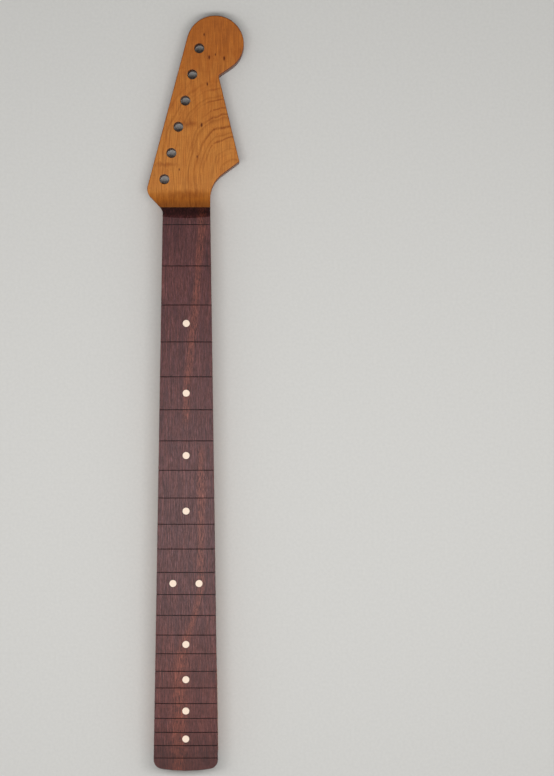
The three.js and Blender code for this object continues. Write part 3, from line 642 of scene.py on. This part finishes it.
# Near the dark band the painted side shade is laid on a second time.
side_shade_near_band = joined(tree, "MULTIPLY", [
    add(tree, "MapRange", [up, *NEAR_BAND_BELOW], **SOFT),
    add(tree, "MapRange", [up, *NEAR_BAND_ABOVE], **SOFT), NEAR_BAND_SHARE])
tone = add(tree, "MixRGB", [1.0, tone, side], blend_type="MULTIPLY")
tone = add(tree, "MixRGB", [side_shade_near_band, tone, side], blend_type="MULTIPLY")
print("side tint over the whole shaft, twice near the band")

# %% How well the rounded direction agrees with the true one
rounded = add(tree, "Bevel", [MAPLE_EDGE], samples=6)
agree = add(tree, "VectorMath", [rounded, add(tree, "NewGeometry").outputs["True Normal"]],
            operation="DOT_PRODUCT").outputs["Value"]
print("edges look rounded over", MAPLE_EDGE / MM, "mm")

# %% Stay clear of the row of tuner holes
TUNER_ROW_HALF = mm(6.5, 7.5)
TUNER_ROW_START = mm(16, 12)

first, last = tuner_holes[0], tuner_holes[-1]
row_slope = (last.x - first.x) / (last.y - first.y)
row_start = first.x - row_slope * (first.y - NUT_Y)
off_row = add(tree, "Math", [up, -row_slope, spot.outputs["X"]], operation="MULTIPLY_ADD")
off_row = add(tree, "Math", [off_row, row_start], operation="SUBTRACT")
off_row = add(tree, "Math", [off_row], operation="ABSOLUTE")
clear = joined(tree, "MAXIMUM", [
    add(tree, "MapRange", [off_row, *TUNER_ROW_HALF], **SOFT),
    add(tree, "MapRange", [up, *TUNER_ROW_START], **SOFT)])
print("tuner row leans", round(math.degrees(math.atan(row_slope)), 1), "degrees")

# %% Painted highlight on the ridges, weak at the foot of the V
RIDGE_HIGHLIGHT_TURN = (0.998, 0.985)
RIDGE_HIGHLIGHT_Z = mm(0.7, 0.3)
RIDGE_HIGHLIGHT_TOP = mm(90, 60)
RIDGE_HIGHLIGHT_SHARE = 0.75
PAINTED_RIDGE_COLOUR = colour("#e6b985")
V_FOOT_X = 3 * MM
V_FOOT_HALF = mm(5, 11)
V_BASS_END = mm(-34, -28)
V_START = mm(-20, -40)

foot = add(tree, "Math", [spot.outputs["X"], V_FOOT_X], operation="SUBTRACT")
foot = add(tree, "Math", [foot], operation="ABSOLUTE")
foot = joined(tree, "MULTIPLY", [
    add(tree, "MapRange", [foot, *V_FOOT_HALF, 0.2, 1.0], **SOFT),
    add(tree, "MapRange", [spot.outputs["X"], *V_BASS_END, 0.4, 1.0], **SOFT)])
foot = add(tree, "Math", [foot, add(tree, "MapRange", [up, *V_START], **SOFT)],
           operation="MAXIMUM")
# A painted highlight: a paler colour on the ridges, where the lamps would catch them.
painted_ridge_highlight = joined(tree, "MULTIPLY", [
    add(tree, "MapRange", [agree, *RIDGE_HIGHLIGHT_TURN], **SOFT),
    add(tree, "MapRange", [spot.outputs["Z"], *RIDGE_HIGHLIGHT_Z], **SOFT),
    add(tree, "MapRange", [up, *RIDGE_HIGHLIGHT_TOP], **SOFT), clear, foot, RIDGE_HIGHLIGHT_SHARE])
tone = add(tree, "MixRGB", [painted_ridge_highlight, tone, PAINTED_RIDGE_COLOUR])
print("maple nodes so far:", len(tree.nodes))

# %% Scorched screw holes
SCORCH_RIM = mm(2.6, 1.6)

screw = add(tree, "VectorMath", [place], operation="ABSOLUTE")
screw = add(tree, "VectorMath", [screw, (SCREW_ACROSS / 2, SCREW_ALONG / 2, 0.0)],
            operation="SUBTRACT")
screw = add(tree, "VectorMath", [screw, (1.0, 1.0, 0.0)], operation="MULTIPLY")
screw = add(tree, "VectorMath", [screw], operation="LENGTH").outputs["Value"]
scorched = add(tree, "MapRange", [screw, *SCORCH_RIM], **SOFT)
scorched = add(tree, "ValToRGB", [scorched], [(0.0, grey(1.0)), (0.9, tint(0.16, 0.06, 0.04))])
tone = add(tree, "MixRGB", [1.0, tone, scorched], blend_type="MULTIPLY")
print("scorched holes:", len(screw_holes))

# %% [markdown]
# ## End grain, painted shade and the oiled surface
# Where a cut crosses the fibres, end grain drinks the oil and goes darker. The same darkening is
# also painted shade, on the ramp's foot and on walls that face along the neck. So the more a surface
# looks along the neck, the deeper its brown, partly end grain and partly painted shade. The sanded
# curves behind take up less than the sawn ramp in front. The surface itself is satin, a little
# rougher between the fibres and in the flecks, which a shallow bump sinks by hundredths of a
# millimetre.

# %% End grain and painted shade
SAWN_FACING = (-0.3, 0.1)
SANDED_LEAVES = 0.3

sawn = add(tree, "MapRange", [facing.outputs["Z"], *SAWN_FACING, SANDED_LEAVES, 1.0], **SOFT)
along = add(tree, "Math", [facing.outputs["Y"]], operation="ABSOLUTE")
end_grain_and_shade = add(tree, "ValToRGB", [along], [
    (0.08, grey(1.0)), (0.28, tint(0.76, 0.64, 0.42)), (0.50, tint(0.48, 0.38, 0.33)),
    (1.0, tint(0.32, 0.25, 0.22))])
# End grain and painted shade: the more a surface faces along the neck, the darker its colour.
tone = add(tree, "MixRGB", [sawn, tone, end_grain_and_shade], blend_type="MULTIPLY")
print("maple nodes so far:", len(tree.nodes))

# %% The maple's gloss and relief
MAPLE_ROUGHNESS = (0.42, 0.33)
MAPLE_RELIEF = 0.03 * MM

satin = add(tree, "MapRange", [fibre, *NOISE_SPAN, *MAPLE_ROUGHNESS], **SOFT)
height = add(tree, "Math", [fibre, fleck_tone], operation="ADD")
relief = add(tree, "Bump", {"Height": height, "Strength": 0.25, "Distance": MAPLE_RELIEF,
                            "Normal": rounded})
tree.links.new(tone.outputs[0], maple_shader.inputs["Base Color"])
tree.links.new(satin.outputs[0], maple_shader.inputs["Roughness"])
tree.links.new(relief.outputs[0], maple_shader.inputs["Normal"])
print("maple nodes:", len(tree.nodes))

# %% [markdown]
# ## Rosewood
# The fretboard is dark Indian rosewood, sanded and lightly oiled. Brown and greyish purple fibres
# lie side by side along it, and its large open pores show as short dark dashes. A pore is about a
# sixth of a millimetre wide and is drawn so. Single fibres are too fine to show, so the finest here
# are bundles of about a quarter of a millimetre. One noise for each, read from a slightly swayed
# place, keeps them apart. The thin oil film leaves a broad grey sheen from the lamp and no sharp
# reflection.

# %% Rosewood fibres and pores
ROSEWOOD_EDGE = 0.45 * MM
BUNDLES = (0.64, 24, 2.4)
FINE_FIBRES = (0.26, 5.6, 1.6)
PORES = (0.16, 1.8, 0.16)

rosewood, tree, rosewood_shader = finish("oiled_rosewood", IOR=1.5, Specular_IOR_Level=0.3)
place = add(tree, "TexCoord").outputs["Object"]
spot = add(tree, "SeparateXYZ", [place])
bent = swayed(tree, place, (10, 32, 10), 3)
bundle_tone = add(tree, "ValToRGB", [grain(tree, bent, BUNDLES, roughness=0.6)], [
    (0.28, colour("#431f22")), (0.42, colour("#4f2628")), (0.54, colour("#5a2c2b")),
    (0.70, colour("#6f3b37"))])
fine = grain(tree, bent, FINE_FIBRES, roughness=0.7)
fine_tone = add(tree, "ValToRGB", [fine], [
    (0.34, tint(0.50, 0.30, 0.20)), (0.50, tint(0.97, 0.93, 0.88)), (0.66, tint(1.55, 1.95, 2.30))])
pore_tone = add(tree, "ValToRGB", [grain(tree, bent, PORES, detail=1.0)], [
    (0.32, grey(0.35)), (0.43, grey(1.0))])
tone = add(tree, "MixRGB", [1.0, bundle_tone, fine_tone], blend_type="MULTIPLY")
print("rosewood nodes so far:", len(tree.nodes))

# %% [markdown]
# ## The board's red streak
# One streak of the board is redder. It drifts from the treble side by the nut to the middle, breaks
# off, and drifts again from the treble side to the bass side by the heel, where it is widest. A soft
# step gives its place at each height, and only the paler fibres take its colour, so it looks grown
# and not brushed on.

# %% The red streak
BREAK_Y = 243 * MM
BREAK_GAP = mm(2, 20)
UPPER_DRIFT = mm(256, 440, 0, 13.5)
LOWER_DRIFT = mm(30, 118, -6, 13)
RED_HALF_WIDTH = mm(30, 80, 11, 4.8)
RED_CORE_HALF = 1 * MM
PALER_FIBRES = (0.46, 0.62)
RED_SHARE = 0.65
RED_WOOD = colour("#a0543c")

upper = add(tree, "MapRange", [spot.outputs["Y"], *UPPER_DRIFT], **SOFT)
lower = add(tree, "MapRange", [spot.outputs["Y"], *LOWER_DRIFT], **SOFT)
past_break = add(tree, "Math", [spot.outputs["Y"], BREAK_Y], operation="GREATER_THAN")
jump = add(tree, "Math", [upper, lower], operation="SUBTRACT")
drift = add(tree, "Math", [jump, past_break, lower], operation="MULTIPLY_ADD")
off_streak = add(tree, "SeparateXYZ", [bent]).outputs["X"]
off_streak = add(tree, "Math", [off_streak, drift], operation="SUBTRACT")
off_streak = add(tree, "Math", [off_streak], operation="ABSOLUTE")
half = add(tree, "MapRange", [spot.outputs["Y"], *RED_HALF_WIDTH], **SOFT)
from_break = add(tree, "Math", [spot.outputs["Y"], BREAK_Y], operation="SUBTRACT")
from_break = add(tree, "Math", [from_break], operation="ABSOLUTE")
redness = joined(tree, "MULTIPLY", [
    add(tree, "MapRange", [off_streak, half, RED_CORE_HALF], **SOFT),
    add(tree, "MapRange", [fine, *PALER_FIBRES], **SOFT),
    add(tree, "MapRange", [from_break, *BREAK_GAP], **SOFT), RED_SHARE])
tone = add(tree, "MixRGB", [redness, tone, RED_WOOD])
print("the streak breaks at", BREAK_Y / MM, "mm")

# %% [markdown]
# ## The board's tone
# This board is warmer by the heel, and darker at its end and by the nut. The pores are laid over
# the streak too, because they are holes and take no colour.
# Each change is a soft step along the board, where a painted gradient would have to be unwrapped.

# %% Pores, and the board's tone from the heel to the nut
BOARD_TONES = [
    (mm(120, 40), tint(1.12, 1.0, 0.84)),
    (mm(-5, -40), grey(0.75)),
    (mm(385, 410), grey(0.88)),
]

tone = add(tree, "MixRGB", [1.0, tone, pore_tone], blend_type="MULTIPLY")
for stretch, layer in BOARD_TONES:
    share = add(tree, "MapRange", [spot.outputs["Y"], *stretch], **SOFT)
    tone = add(tree, "MixRGB", [share, tone, layer], blend_type="MULTIPLY")
print("rosewood nodes so far:", len(tree.nodes))

# %% [markdown]
# ## Cuts across the rosewood
# The ramp behind the nut, the round end and the kerfs' walls are cut across the fibres, so they are
# darker, and painted shade takes them nearly black, with the paler fibres' ends as dots. The floors
# of the kerfs get painted shade: flat places well below the crowned top. The top is close to a part
# of a cylinder, so its height at each place is known well enough, and what lies deeper is a kerf.

# %% Ramp and round end, end grain and painted shade
RAMP_TONE_STARTS = mm(5, 11)
ACROSS_FIBRES = (0.1, 0.3)

facing = add(tree, "SeparateXYZ", [add(tree, "TexCoord").outputs["Normal"]])
along = add(tree, "Math", [facing.outputs["Y"]], operation="ABSOLUTE")
end_grain_and_shade = add(tree, "ValToRGB", [along], [
    (0.10, grey(1.0)), (0.45, grey(0.26)), (1.0, grey(0.17))])
fibre_ends = add(tree, "ValToRGB", [fine], [(0.35, grey(0.45)), (0.62, tint(2.2, 1.9, 1.8))])
ramp_start, ramp_dark = (NUT_Y + length for length in RAMP_TONE_STARTS)
ramped = add(tree, "MapRange", [spot.outputs["Y"], ramp_start, ramp_dark, 0.6, 1.0], **SOFT)
before_nut = add(tree, "Math", [spot.outputs["Y"], NUT_Y], operation="LESS_THAN")
ramped = add(tree, "Math", [ramped, before_nut], operation="MAXIMUM")
across_fibres = add(tree, "MapRange", [along, *ACROSS_FIBRES], **SOFT)
# End grain and painted shade: surfaces that face along the board are darkened.
tone = add(tree, "MixRGB", [ramped, tone, end_grain_and_shade], blend_type="MULTIPLY")
tone = add(tree, "MixRGB", [across_fibres, tone, fibre_ends], blend_type="MULTIPLY")
print("ramp darkens from", round(ramp_start / MM, 1), "to", round(ramp_dark / MM, 1), "mm")

# %% Kerfs, their floors in painted shade
CROWN_RADIUS = 254 * MM
KERF_DEPTH = mm(0.3, 0.6)
KERF_FLOOR_FACING = (0.8, 0.95)
PAINTED_KERF_SHADE = tint(0.10, 0.05, 0.05)
PAST_NUT = 1 * MM

crown = add(tree, "Math", [spot.outputs["X"], 2.0], operation="POWER")
crown = add(tree, "Math", [crown, 0.5 / CROWN_RADIUS], operation="MULTIPLY")
sunk = add(tree, "Math", [board_high.z, spot.outputs["Z"]], operation="SUBTRACT")
sunk = add(tree, "Math", [sunk, crown], operation="SUBTRACT")
# Painted shade on the kerfs' floors.
kerf = joined(tree, "MULTIPLY", [
    add(tree, "MapRange", [sunk, *KERF_DEPTH], **SOFT),
    add(tree, "MapRange", [facing.outputs["Z"], *KERF_FLOOR_FACING], **SOFT),
    add(tree, "Math", [spot.outputs["Y"], NUT_Y + PAST_NUT], operation="LESS_THAN")])
tone = add(tree, "MixRGB", [kerf, tone, PAINTED_KERF_SHADE], blend_type="MULTIPLY")
print("crown falls", round(0.5 / CROWN_RADIUS * board_high.x ** 2 / MM, 2), "mm to the edge")

# %% The rosewood's gloss and relief
ROSEWOOD_ROUGHNESS = (0.46, 0.36)
ROSEWOOD_RELIEF = 0.05 * MM

satin = add(tree, "MapRange", [fine, *NOISE_SPAN, *ROSEWOOD_ROUGHNESS], **SOFT)
height = add(tree, "Math", [fine, pore_tone], operation="ADD")
relief = add(tree, "Bump", {
    "Height": height, "Strength": 0.35, "Distance": ROSEWOOD_RELIEF,
    "Normal": add(tree, "Bevel", [ROSEWOOD_EDGE], samples=6)})
tree.links.new(tone.outputs[0], rosewood_shader.inputs["Base Color"])
tree.links.new(satin.outputs[0], rosewood_shader.inputs["Roughness"])
tree.links.new(relief.outputs[0], rosewood_shader.inputs["Normal"])
print("rosewood nodes:", len(tree.nodes))

# %% [markdown]
# ## The dots' clay
# The dots are punched from a cream, clay-like sheet and sanded flush with the wood. Such a filled
# composition is matt and a little grainy, so a fine mottle drives both its colour and its bump. Its
# real grain can't be seen from here, so it is drawn about five times as coarse.

# %% Clay
CLAY_GRAIN = (0.18, 0.18, 0.18)
CLAY_RELIEF = 0.02 * MM

clay, tree, clay_shader = finish("cream_clay_composition", Roughness=0.5, IOR=1.5)
place = add(tree, "TexCoord").outputs["Object"]
mottle = grain(tree, place, CLAY_GRAIN, detail=3.0, roughness=0.5)
mottled = add(tree, "ValToRGB", [mottle], [
    (0.30, colour("#ecd0b8")), (0.50, colour("#f6dfca")), (0.70, colour("#fcebd8"))])
relief = add(tree, "Bump", {"Height": mottle, "Strength": 0.15, "Distance": CLAY_RELIEF})
tree.links.new(mottled.outputs[0], clay_shader.inputs["Base Color"])
tree.links.new(relief.outputs[0], clay_shader.inputs["Normal"])
print("clay nodes:", len(tree.nodes))


# %% [markdown]
# ## The rod's metals
# The truss rod is plain turned steel, and its two blocks are drawn brass, faced on the same lathe.
# Only the rod's nut can be seen, down its mouth in the heel end. Turning leaves fine rings round the
# axis, which catch the light as faint bright lines. A wave texture would space them like a thread,
# so the pattern is noise with cells that are thin along the rod and wide across it. The rings keep
# their real pitch, since only a close view shows the nut at all.

# %% Steel and brass
MARK_WIDTH = 1.2
METAL_ROUGHNESS = (0.28, 0.46)
METAL_RELIEF = 0.02 * MM


def machined(name, dark, light, pitch):
    """A metal with turning marks, pitch millimetres apart, round the rod's axis."""
    made, tree, shader = finish(name, Metallic=1.0)
    place = add(tree, "TexCoord").outputs["Object"]
    mark = grain(tree, place, (MARK_WIDTH, pitch, MARK_WIDTH), detail=3.0, roughness=0.5)
    tone = add(tree, "ValToRGB", [mark], [(0.3, colour(dark)), (0.7, colour(light))])
    rough = add(tree, "MapRange", [mark, 0.0, 1.0, *METAL_ROUGHNESS])
    relief = add(tree, "Bump", {"Height": mark, "Strength": 0.3, "Distance": METAL_RELIEF})
    tree.links.new(tone.outputs[0], shader.inputs["Base Color"])
    tree.links.new(rough.outputs[0], shader.inputs["Roughness"])
    tree.links.new(relief.outputs[0], shader.inputs["Normal"])
    return made


steel = machined("turned_steel", "#8b8e92", "#b4b7ba", 0.05)
brass = machined("drawn_brass", "#a98142", "#cda75f", 0.06)
print("metals:", steel.name, brass.name)


# %% [markdown]
# ## Softened edges
# No edge that a hand meets is sharp: the maker breaks it with sandpaper, and a broken edge catches
# a thin line of light. We work on copies of the CAD meshes. A copy's loose triangles are merged, flat
# areas are dissolved into single faces, and then only the edges that hands touch are bevelled.
# Edges glued to another piece stay sharp, or a gap would open there.

# %% A workpiece from a CAD node
FLAT_DEGREES = 0.3
MERGE_DISTANCE = 0.05 * MM


def workpiece(name, node, material, merge_distance=MERGE_DISTANCE, flat_degrees=FLAT_DEGREES):
    """A merged copy of a CAD node's mesh that stands for the node."""
    mesh = nodes[node].data.copy()
    mesh.name = name
    mesh.materials.clear()
    mesh.materials.append(material)
    made = bpy.data.objects.new(name, mesh)
    bpy.context.scene.collection.objects.link(made)
    bpy.ops.object.select_all(action="DESELECT")
    made.select_set(True)
    bpy.context.view_layer.objects.active = made
    bpy.ops.mesh.customdata_custom_splitnormals_clear()
    bpy.ops.object.mode_set(mode="EDIT")
    bpy.ops.mesh.select_mode(type="VERT")
    bpy.ops.mesh.select_all(action="SELECT")
    bpy.ops.mesh.remove_doubles(threshold=merge_distance)
    bpy.ops.mesh.dissolve_limited(angle_limit=math.radians(flat_degrees))
    bpy.ops.object.mode_set(mode="OBJECT")
    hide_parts(node)
    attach(made, "neck")
    return made


# %% Round chosen edges
SHARP_DEGREES = 28


def soften(made, width, segments, wanted):
    """Rounds the sharp outside edges that wanted(edge, middle) accepts. made is the active piece."""
    bpy.ops.object.mode_set(mode="EDIT")
    bpy.ops.mesh.select_mode(type="EDGE")
    bpy.ops.mesh.select_all(action="DESELECT")
    shape = bmesh.from_edit_mesh(made.data)
    chosen = 0
    for edge in shape.edges:
        if not (edge.is_manifold and edge.is_convex):
            continue
        if edge.calc_face_angle() < math.radians(SHARP_DEGREES):
            continue
        if wanted(edge, (edge.verts[0].co + edge.verts[1].co) / 2):
            edge.select_set(True)
            chosen += 1
    bmesh.update_edit_mesh(made.data)
    bpy.ops.mesh.bevel(offset=width, segments=segments, affect="EDGES", clamp_overlap=False)
    bpy.ops.object.mode_set(mode="OBJECT")
    print(made.name, "edges rounded:", chosen)


# %% Shade a finished piece
SMOOTH_DEGREES = 26


def shade(made):
    """Smooth shading across the round-overs, but not across edges that are still sharp."""
    bpy.ops.object.shade_smooth_by_angle(angle=math.radians(SMOOTH_DEGREES))
    weighted = made.modifiers.new("weighted_normals", "WEIGHTED_NORMAL")
    weighted.keep_sharp = True
    bpy.ops.object.modifier_apply(modifier=weighted.name)
    print(made.name, "faces:", len(made.data.polygons))


# %% [markdown]
# ## The maple neck
# The headstock's outline is rounded over on its face and its back, and so is the outline of the
# heel. The rims of the drilled holes are only just broken. Where the carved back runs out into the
# flat back of the headstock it leaves a ridge, the V that every such neck shows behind. It ends in
# slivers that a bevel would fold, so it stays as it is, and the maple's own rounded light softens
# it. Edges are chosen by their place, so the choice still holds when the model is built again.

# %% Choose the maple's edges
HOLE_REACH = 5.2 * MM
AT_HEIGHT = 0.1 * MM
NOTCH = Vector((28 * MM, NUT_Y + 133 * MM))
NOTCH_REACH = 4 * MM
SHOULDER_Y = 34 * MM
CARVING_END_Y = NUT_Y + 60 * MM


def at_height(edge, height):
    """Whether an edge lies on a level surface."""
    return all(abs(corner.co.z - height) < AT_HEIGHT for corner in edge.verts)


def on_rim(middle):
    """Whether a place is on the rim of a drilled hole."""
    return any((middle.xy - hole.xy).length < HOLE_REACH for hole in tuner_holes + screw_holes)


def clear_of_carving(edge, middle):
    """The outline's edges, apart from those where the carved back runs out in slivers."""
    if on_rim(middle):
        return False
    if at_height(edge, HEADSTOCK_FACE_Z):
        return middle.y > NUT_Y + RAMP_LENGTH
    notch = (middle.xy - NOTCH).length < NOTCH_REACH
    return at_height(edge, 0) and not notch and (
        middle.y < SHOULDER_Y or middle.y > CARVING_END_Y)


def hole_edge(edge, middle):
    """The rims of the drilled holes, front and back."""
    return on_rim(middle) and (at_height(edge, HEADSTOCK_FACE_Z) or at_height(edge, 0))


print("carving ends at", round(CARVING_END_Y / MM, 1), "mm")

# %% Model the maple
OUTLINE_ROUND = 1.0 * MM
RIM_ROUND = 0.2 * MM

body = workpiece("maple_body", "maple_neck", maple)
soften(body, OUTLINE_ROUND, 4, clear_of_carving)
soften(body, RIM_ROUND, 3, hole_edge)
shade(body)

# %% [markdown]
# ## The fretboard
# Its long edges are only eased, by the rosewood's own rounded light, since the crowned top meets the
# sides in slivers that a bevel would fold. The saw kerfs keep their crisp edges, for the frets
# aren't in yet. The top is curved in small flat facets, so only truly flat triangles are joined
# here, and points are merged only where they are one.

# %% Model the fretboard
BOARD_MERGE = 0.01 * MM
BOARD_FLAT_DEGREES = 0.005

board = workpiece("rosewood_board", "fretboard", rosewood, BOARD_MERGE,
                  BOARD_FLAT_DEGREES)
shade(board)

# %% [markdown]
# ## The dots
# Each inlay is sanded flush with the wood, and only its rim is just broken. The side dots show in
# the bass edge of the board, where the player looks down at them. New discs would have to be shaped
# to the crown again, so the CAD's own are copied and softened, one after the other in a loop.

# %% Model the dots
DOT_MERGE = 0.005 * MM
DOT_ROUND = 0.1 * MM
SHOWING = 0.85

for name in sorted(node for node in nodes if node.startswith(("face_dot", "side_dot"))):
    dot = workpiece(name + "_inlay", name, clay, DOT_MERGE)
    outward = Vector((0, 0, 1)) if name.startswith("face") else Vector((-1, 0, 0))
    soften(dot, DOT_ROUND, 3, lambda edge, middle: any(
        face.normal.dot(outward) > SHOWING for face in edge.link_faces))
    shade(dot)

# %% [markdown]
# ## The truss rod's nut
# The one moving piece that can be seen is the round steel nut down the mouth in the heel end. It is
# turned from bar: a cylinder with chamfered ends, a hexagonal socket for the key in front and a
# bore behind, where the threaded rod is fixed. So a cylinder is the way to start here too, and the
# socket and the bore are cut out of it.

# %% Turn a bar
nut_centre = (nut_low + nut_high) / 2
nut_size = nut_high - nut_low


def turned(name, sides, diameter, start, length):
    """A cylinder round the rod's axis, from start along the neck."""
    bpy.ops.object.select_all(action="DESELECT")
    bpy.ops.mesh.primitive_cylinder_add(
        vertices=sides, radius=diameter / 2, depth=length,
        location=(nut_centre.x, start + length / 2, nut_centre.z),
        rotation=(math.pi / 2, 0, 0))
    made = bpy.context.active_object
    made.name = made.data.name = name
    bpy.ops.object.transform_apply(location=True, rotation=True, scale=True)
    return made


print("nut in mm:", [round(size / MM, 2) for size in nut_size])


# %% Cut a hole, and choose a rim
RIM_SHARE = 0.4


def cut_away(made, cutter):
    """Cuts cutter out of made and deletes it."""
    cut = made.modifiers.new("cut", "BOOLEAN")
    cut.operation, cut.object, cut.solver = "DIFFERENCE", cutter, "EXACT"
    bpy.context.view_layer.objects.active = made
    bpy.ops.object.modifier_apply(modifier=cut.name)
    bpy.data.objects.remove(cutter)
    print(made.name, "faces after the cut:", len(made.data.polygons))


def end_rim(edge, middle):
    """The outer rims of the nut's two ends, but not its socket or its bore."""
    on_end = any(abs(face.normal.y) > SHOWING for face in edge.link_faces)
    return on_end and (middle - nut_centre).xz.length > nut_size.x * RIM_SHARE


# %% Model the nut
KEY_ACROSS_FLATS = 5 * MM
KEY_DEPTH = 5 * MM
KEY_SIDES = 6
ROD_BORE = 4.6 * MM
ROD_GRIP = 7 * MM
BORE_SIDES = 32
NUT_CHAMFER = 0.45 * MM
NUT_SIDES = 64
OVERCUT = 1 * MM

rod_nut = turned("steel_adjusting_nut", NUT_SIDES, nut_size.x, nut_low.y, nut_size.y)
cut_away(rod_nut, turned("socket", KEY_SIDES, KEY_ACROSS_FLATS / math.cos(math.pi / KEY_SIDES),
                         nut_low.y - OVERCUT, KEY_DEPTH + OVERCUT))
cut_away(rod_nut, turned("bore", BORE_SIDES, ROD_BORE, nut_high.y - ROD_GRIP, ROD_GRIP + OVERCUT))
rod_nut.select_set(True)
rod_nut.data.materials.append(steel)
soften(rod_nut, NUT_CHAMFER, 4, end_rim)
shade(rod_nut)
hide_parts("truss_adjusting_nut")
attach(rod_nut, "truss_rod")

# %% [markdown]
# ## The rod's hidden pieces
# Nobody sees the threaded rod, the flat bar and the two blocks inside the neck. They could be
# rounded too, but that work would never show, so they keep their CAD shapes and only get their
# metals.

# %% Give the hidden pieces their metals
hidden = {
    "truss_threaded_rod": steel,
    "truss_flat_bar": steel,
    "truss_heel_block": brass,
    "truss_anchor_block": brass,
}
for name, material in hidden.items():
    nodes[name].data.materials.clear()
    nodes[name].data.materials.append(material)
print("hidden pieces:", len(hidden))

# %% [markdown]
# ## The floor
# The neck lies on a sheet of pale, uncoated paper. Such paper is matt: it takes a soft shadow and
# shows no reflection. Its tooth is far too fine to show, so it is drawn as clouds a few millimetres
# wide, which keep the floor from looking like a flat fill. A plane is all the shape it needs.

# %% Floor
FLOOR_SIZE = 12
FLOOR_Z = -0.1 * MM
PAPER_TOOTH = (2.5, 2.5, 2.5)

floor_finish, tree, floor_shader = finish("pale_paper_floor", Roughness=0.9)
place = add(tree, "TexCoord").outputs["Object"]
paper = add(tree, "ValToRGB", [grain(tree, place, PAPER_TOOTH, roughness=0.5)], [
    (0.3, colour("#cfcecb")), (0.7, colour("#d3d2cf"))])
tree.links.new(paper.outputs[0], floor_shader.inputs["Base Color"])
bpy.ops.object.select_all(action="DESELECT")
bpy.ops.mesh.primitive_plane_add(size=FLOOR_SIZE, location=(0, 0, FLOOR_Z))
floor = bpy.context.active_object
floor.name = "floor"
floor.data.materials.append(floor_finish)
print("floor:", FLOOR_SIZE, "m wide")

# %% [markdown]
# ## The room
# The world is the room's own light, soft and from all round. Its strength is set higher where
# the camera sees it, which leaves a pale background, and lower where a surface reflects it, since a
# dim room keeps dark rosewood dark. A picture of a studio could light it too, but plain light shows
# the wood's own colours.

# %% Room
ROOM_LIGHT = 0.42
ROOM_SEEN = 0.8
ROOM_REFLECTED = 0.1

world = bpy.data.worlds.new("soft_room")
world.use_nodes = True
tree = world.node_tree
path = add(tree, "LightPath")
strength = add(tree, "Math", [path.outputs["Is Glossy Ray"], ROOM_REFLECTED - ROOM_LIGHT, ROOM_LIGHT],
               operation="MULTIPLY_ADD")
strength = add(tree, "Math", [path.outputs["Is Camera Ray"], ROOM_SEEN - ROOM_LIGHT, strength],
               operation="MULTIPLY_ADD")
room = tree.nodes["Background"]
room.inputs["Color"].default_value = colour("#f6f6f4")
tree.links.new(strength.outputs[0], room.inputs["Strength"])
bpy.context.scene.world = world
print("room light:", ROOM_LIGHT, "seen as", ROOM_SEEN)

# %% [markdown]
# ## The lamps
# A long, narrow lamp hangs across the neck, so the satin surfaces are brightest under it and fade
# towards both ends. Two weaker ones, one on each side, keep the edges of the board and the shaft
# from going black. Point lamps would leave hard shadows and small, sharp highlights, which a
# photographer's softboxes don't.

# %% A softbox
def softbox(name, across, along, watts, place, target):
    """A rectangular lamp that lights the neck but isn't seen itself."""
    lamp = bpy.data.lights.new(name, "AREA")
    lamp.shape = "RECTANGLE"
    lamp.size, lamp.size_y, lamp.energy = across, along, watts
    made = bpy.data.objects.new(name, lamp)
    made.location = place
    made.rotation_euler = (Vector(target) - Vector(place)).to_track_quat("-Z", "Y").to_euler()
    made.visible_camera = False
    bpy.context.scene.collection.objects.link(made)
    print(name, watts, "W")


# %% Three lamps
OVERHEAD_Y = 0.15
SIDE_Y = 0.25
SIDE_HEIGHT = 0.75
SIDE_TARGET = (0.05, SIDE_Y, 0)

softbox("overhead_strip", across=1.3, along=0.25, watts=8.0,
        place=(0.06, OVERHEAD_Y, 1.1), target=(0.06, OVERHEAD_Y, 0))
for name, lamp_x in (("bass_side_strip", -0.72), ("treble_side_strip", 0.84)):
    softbox(name, across=0.25, along=1.1, watts=0.8,
            place=(lamp_x, SIDE_Y, SIDE_HEIGHT), target=SIDE_TARGET)
bpy.context.scene.view_settings.view_transform = "Standard"
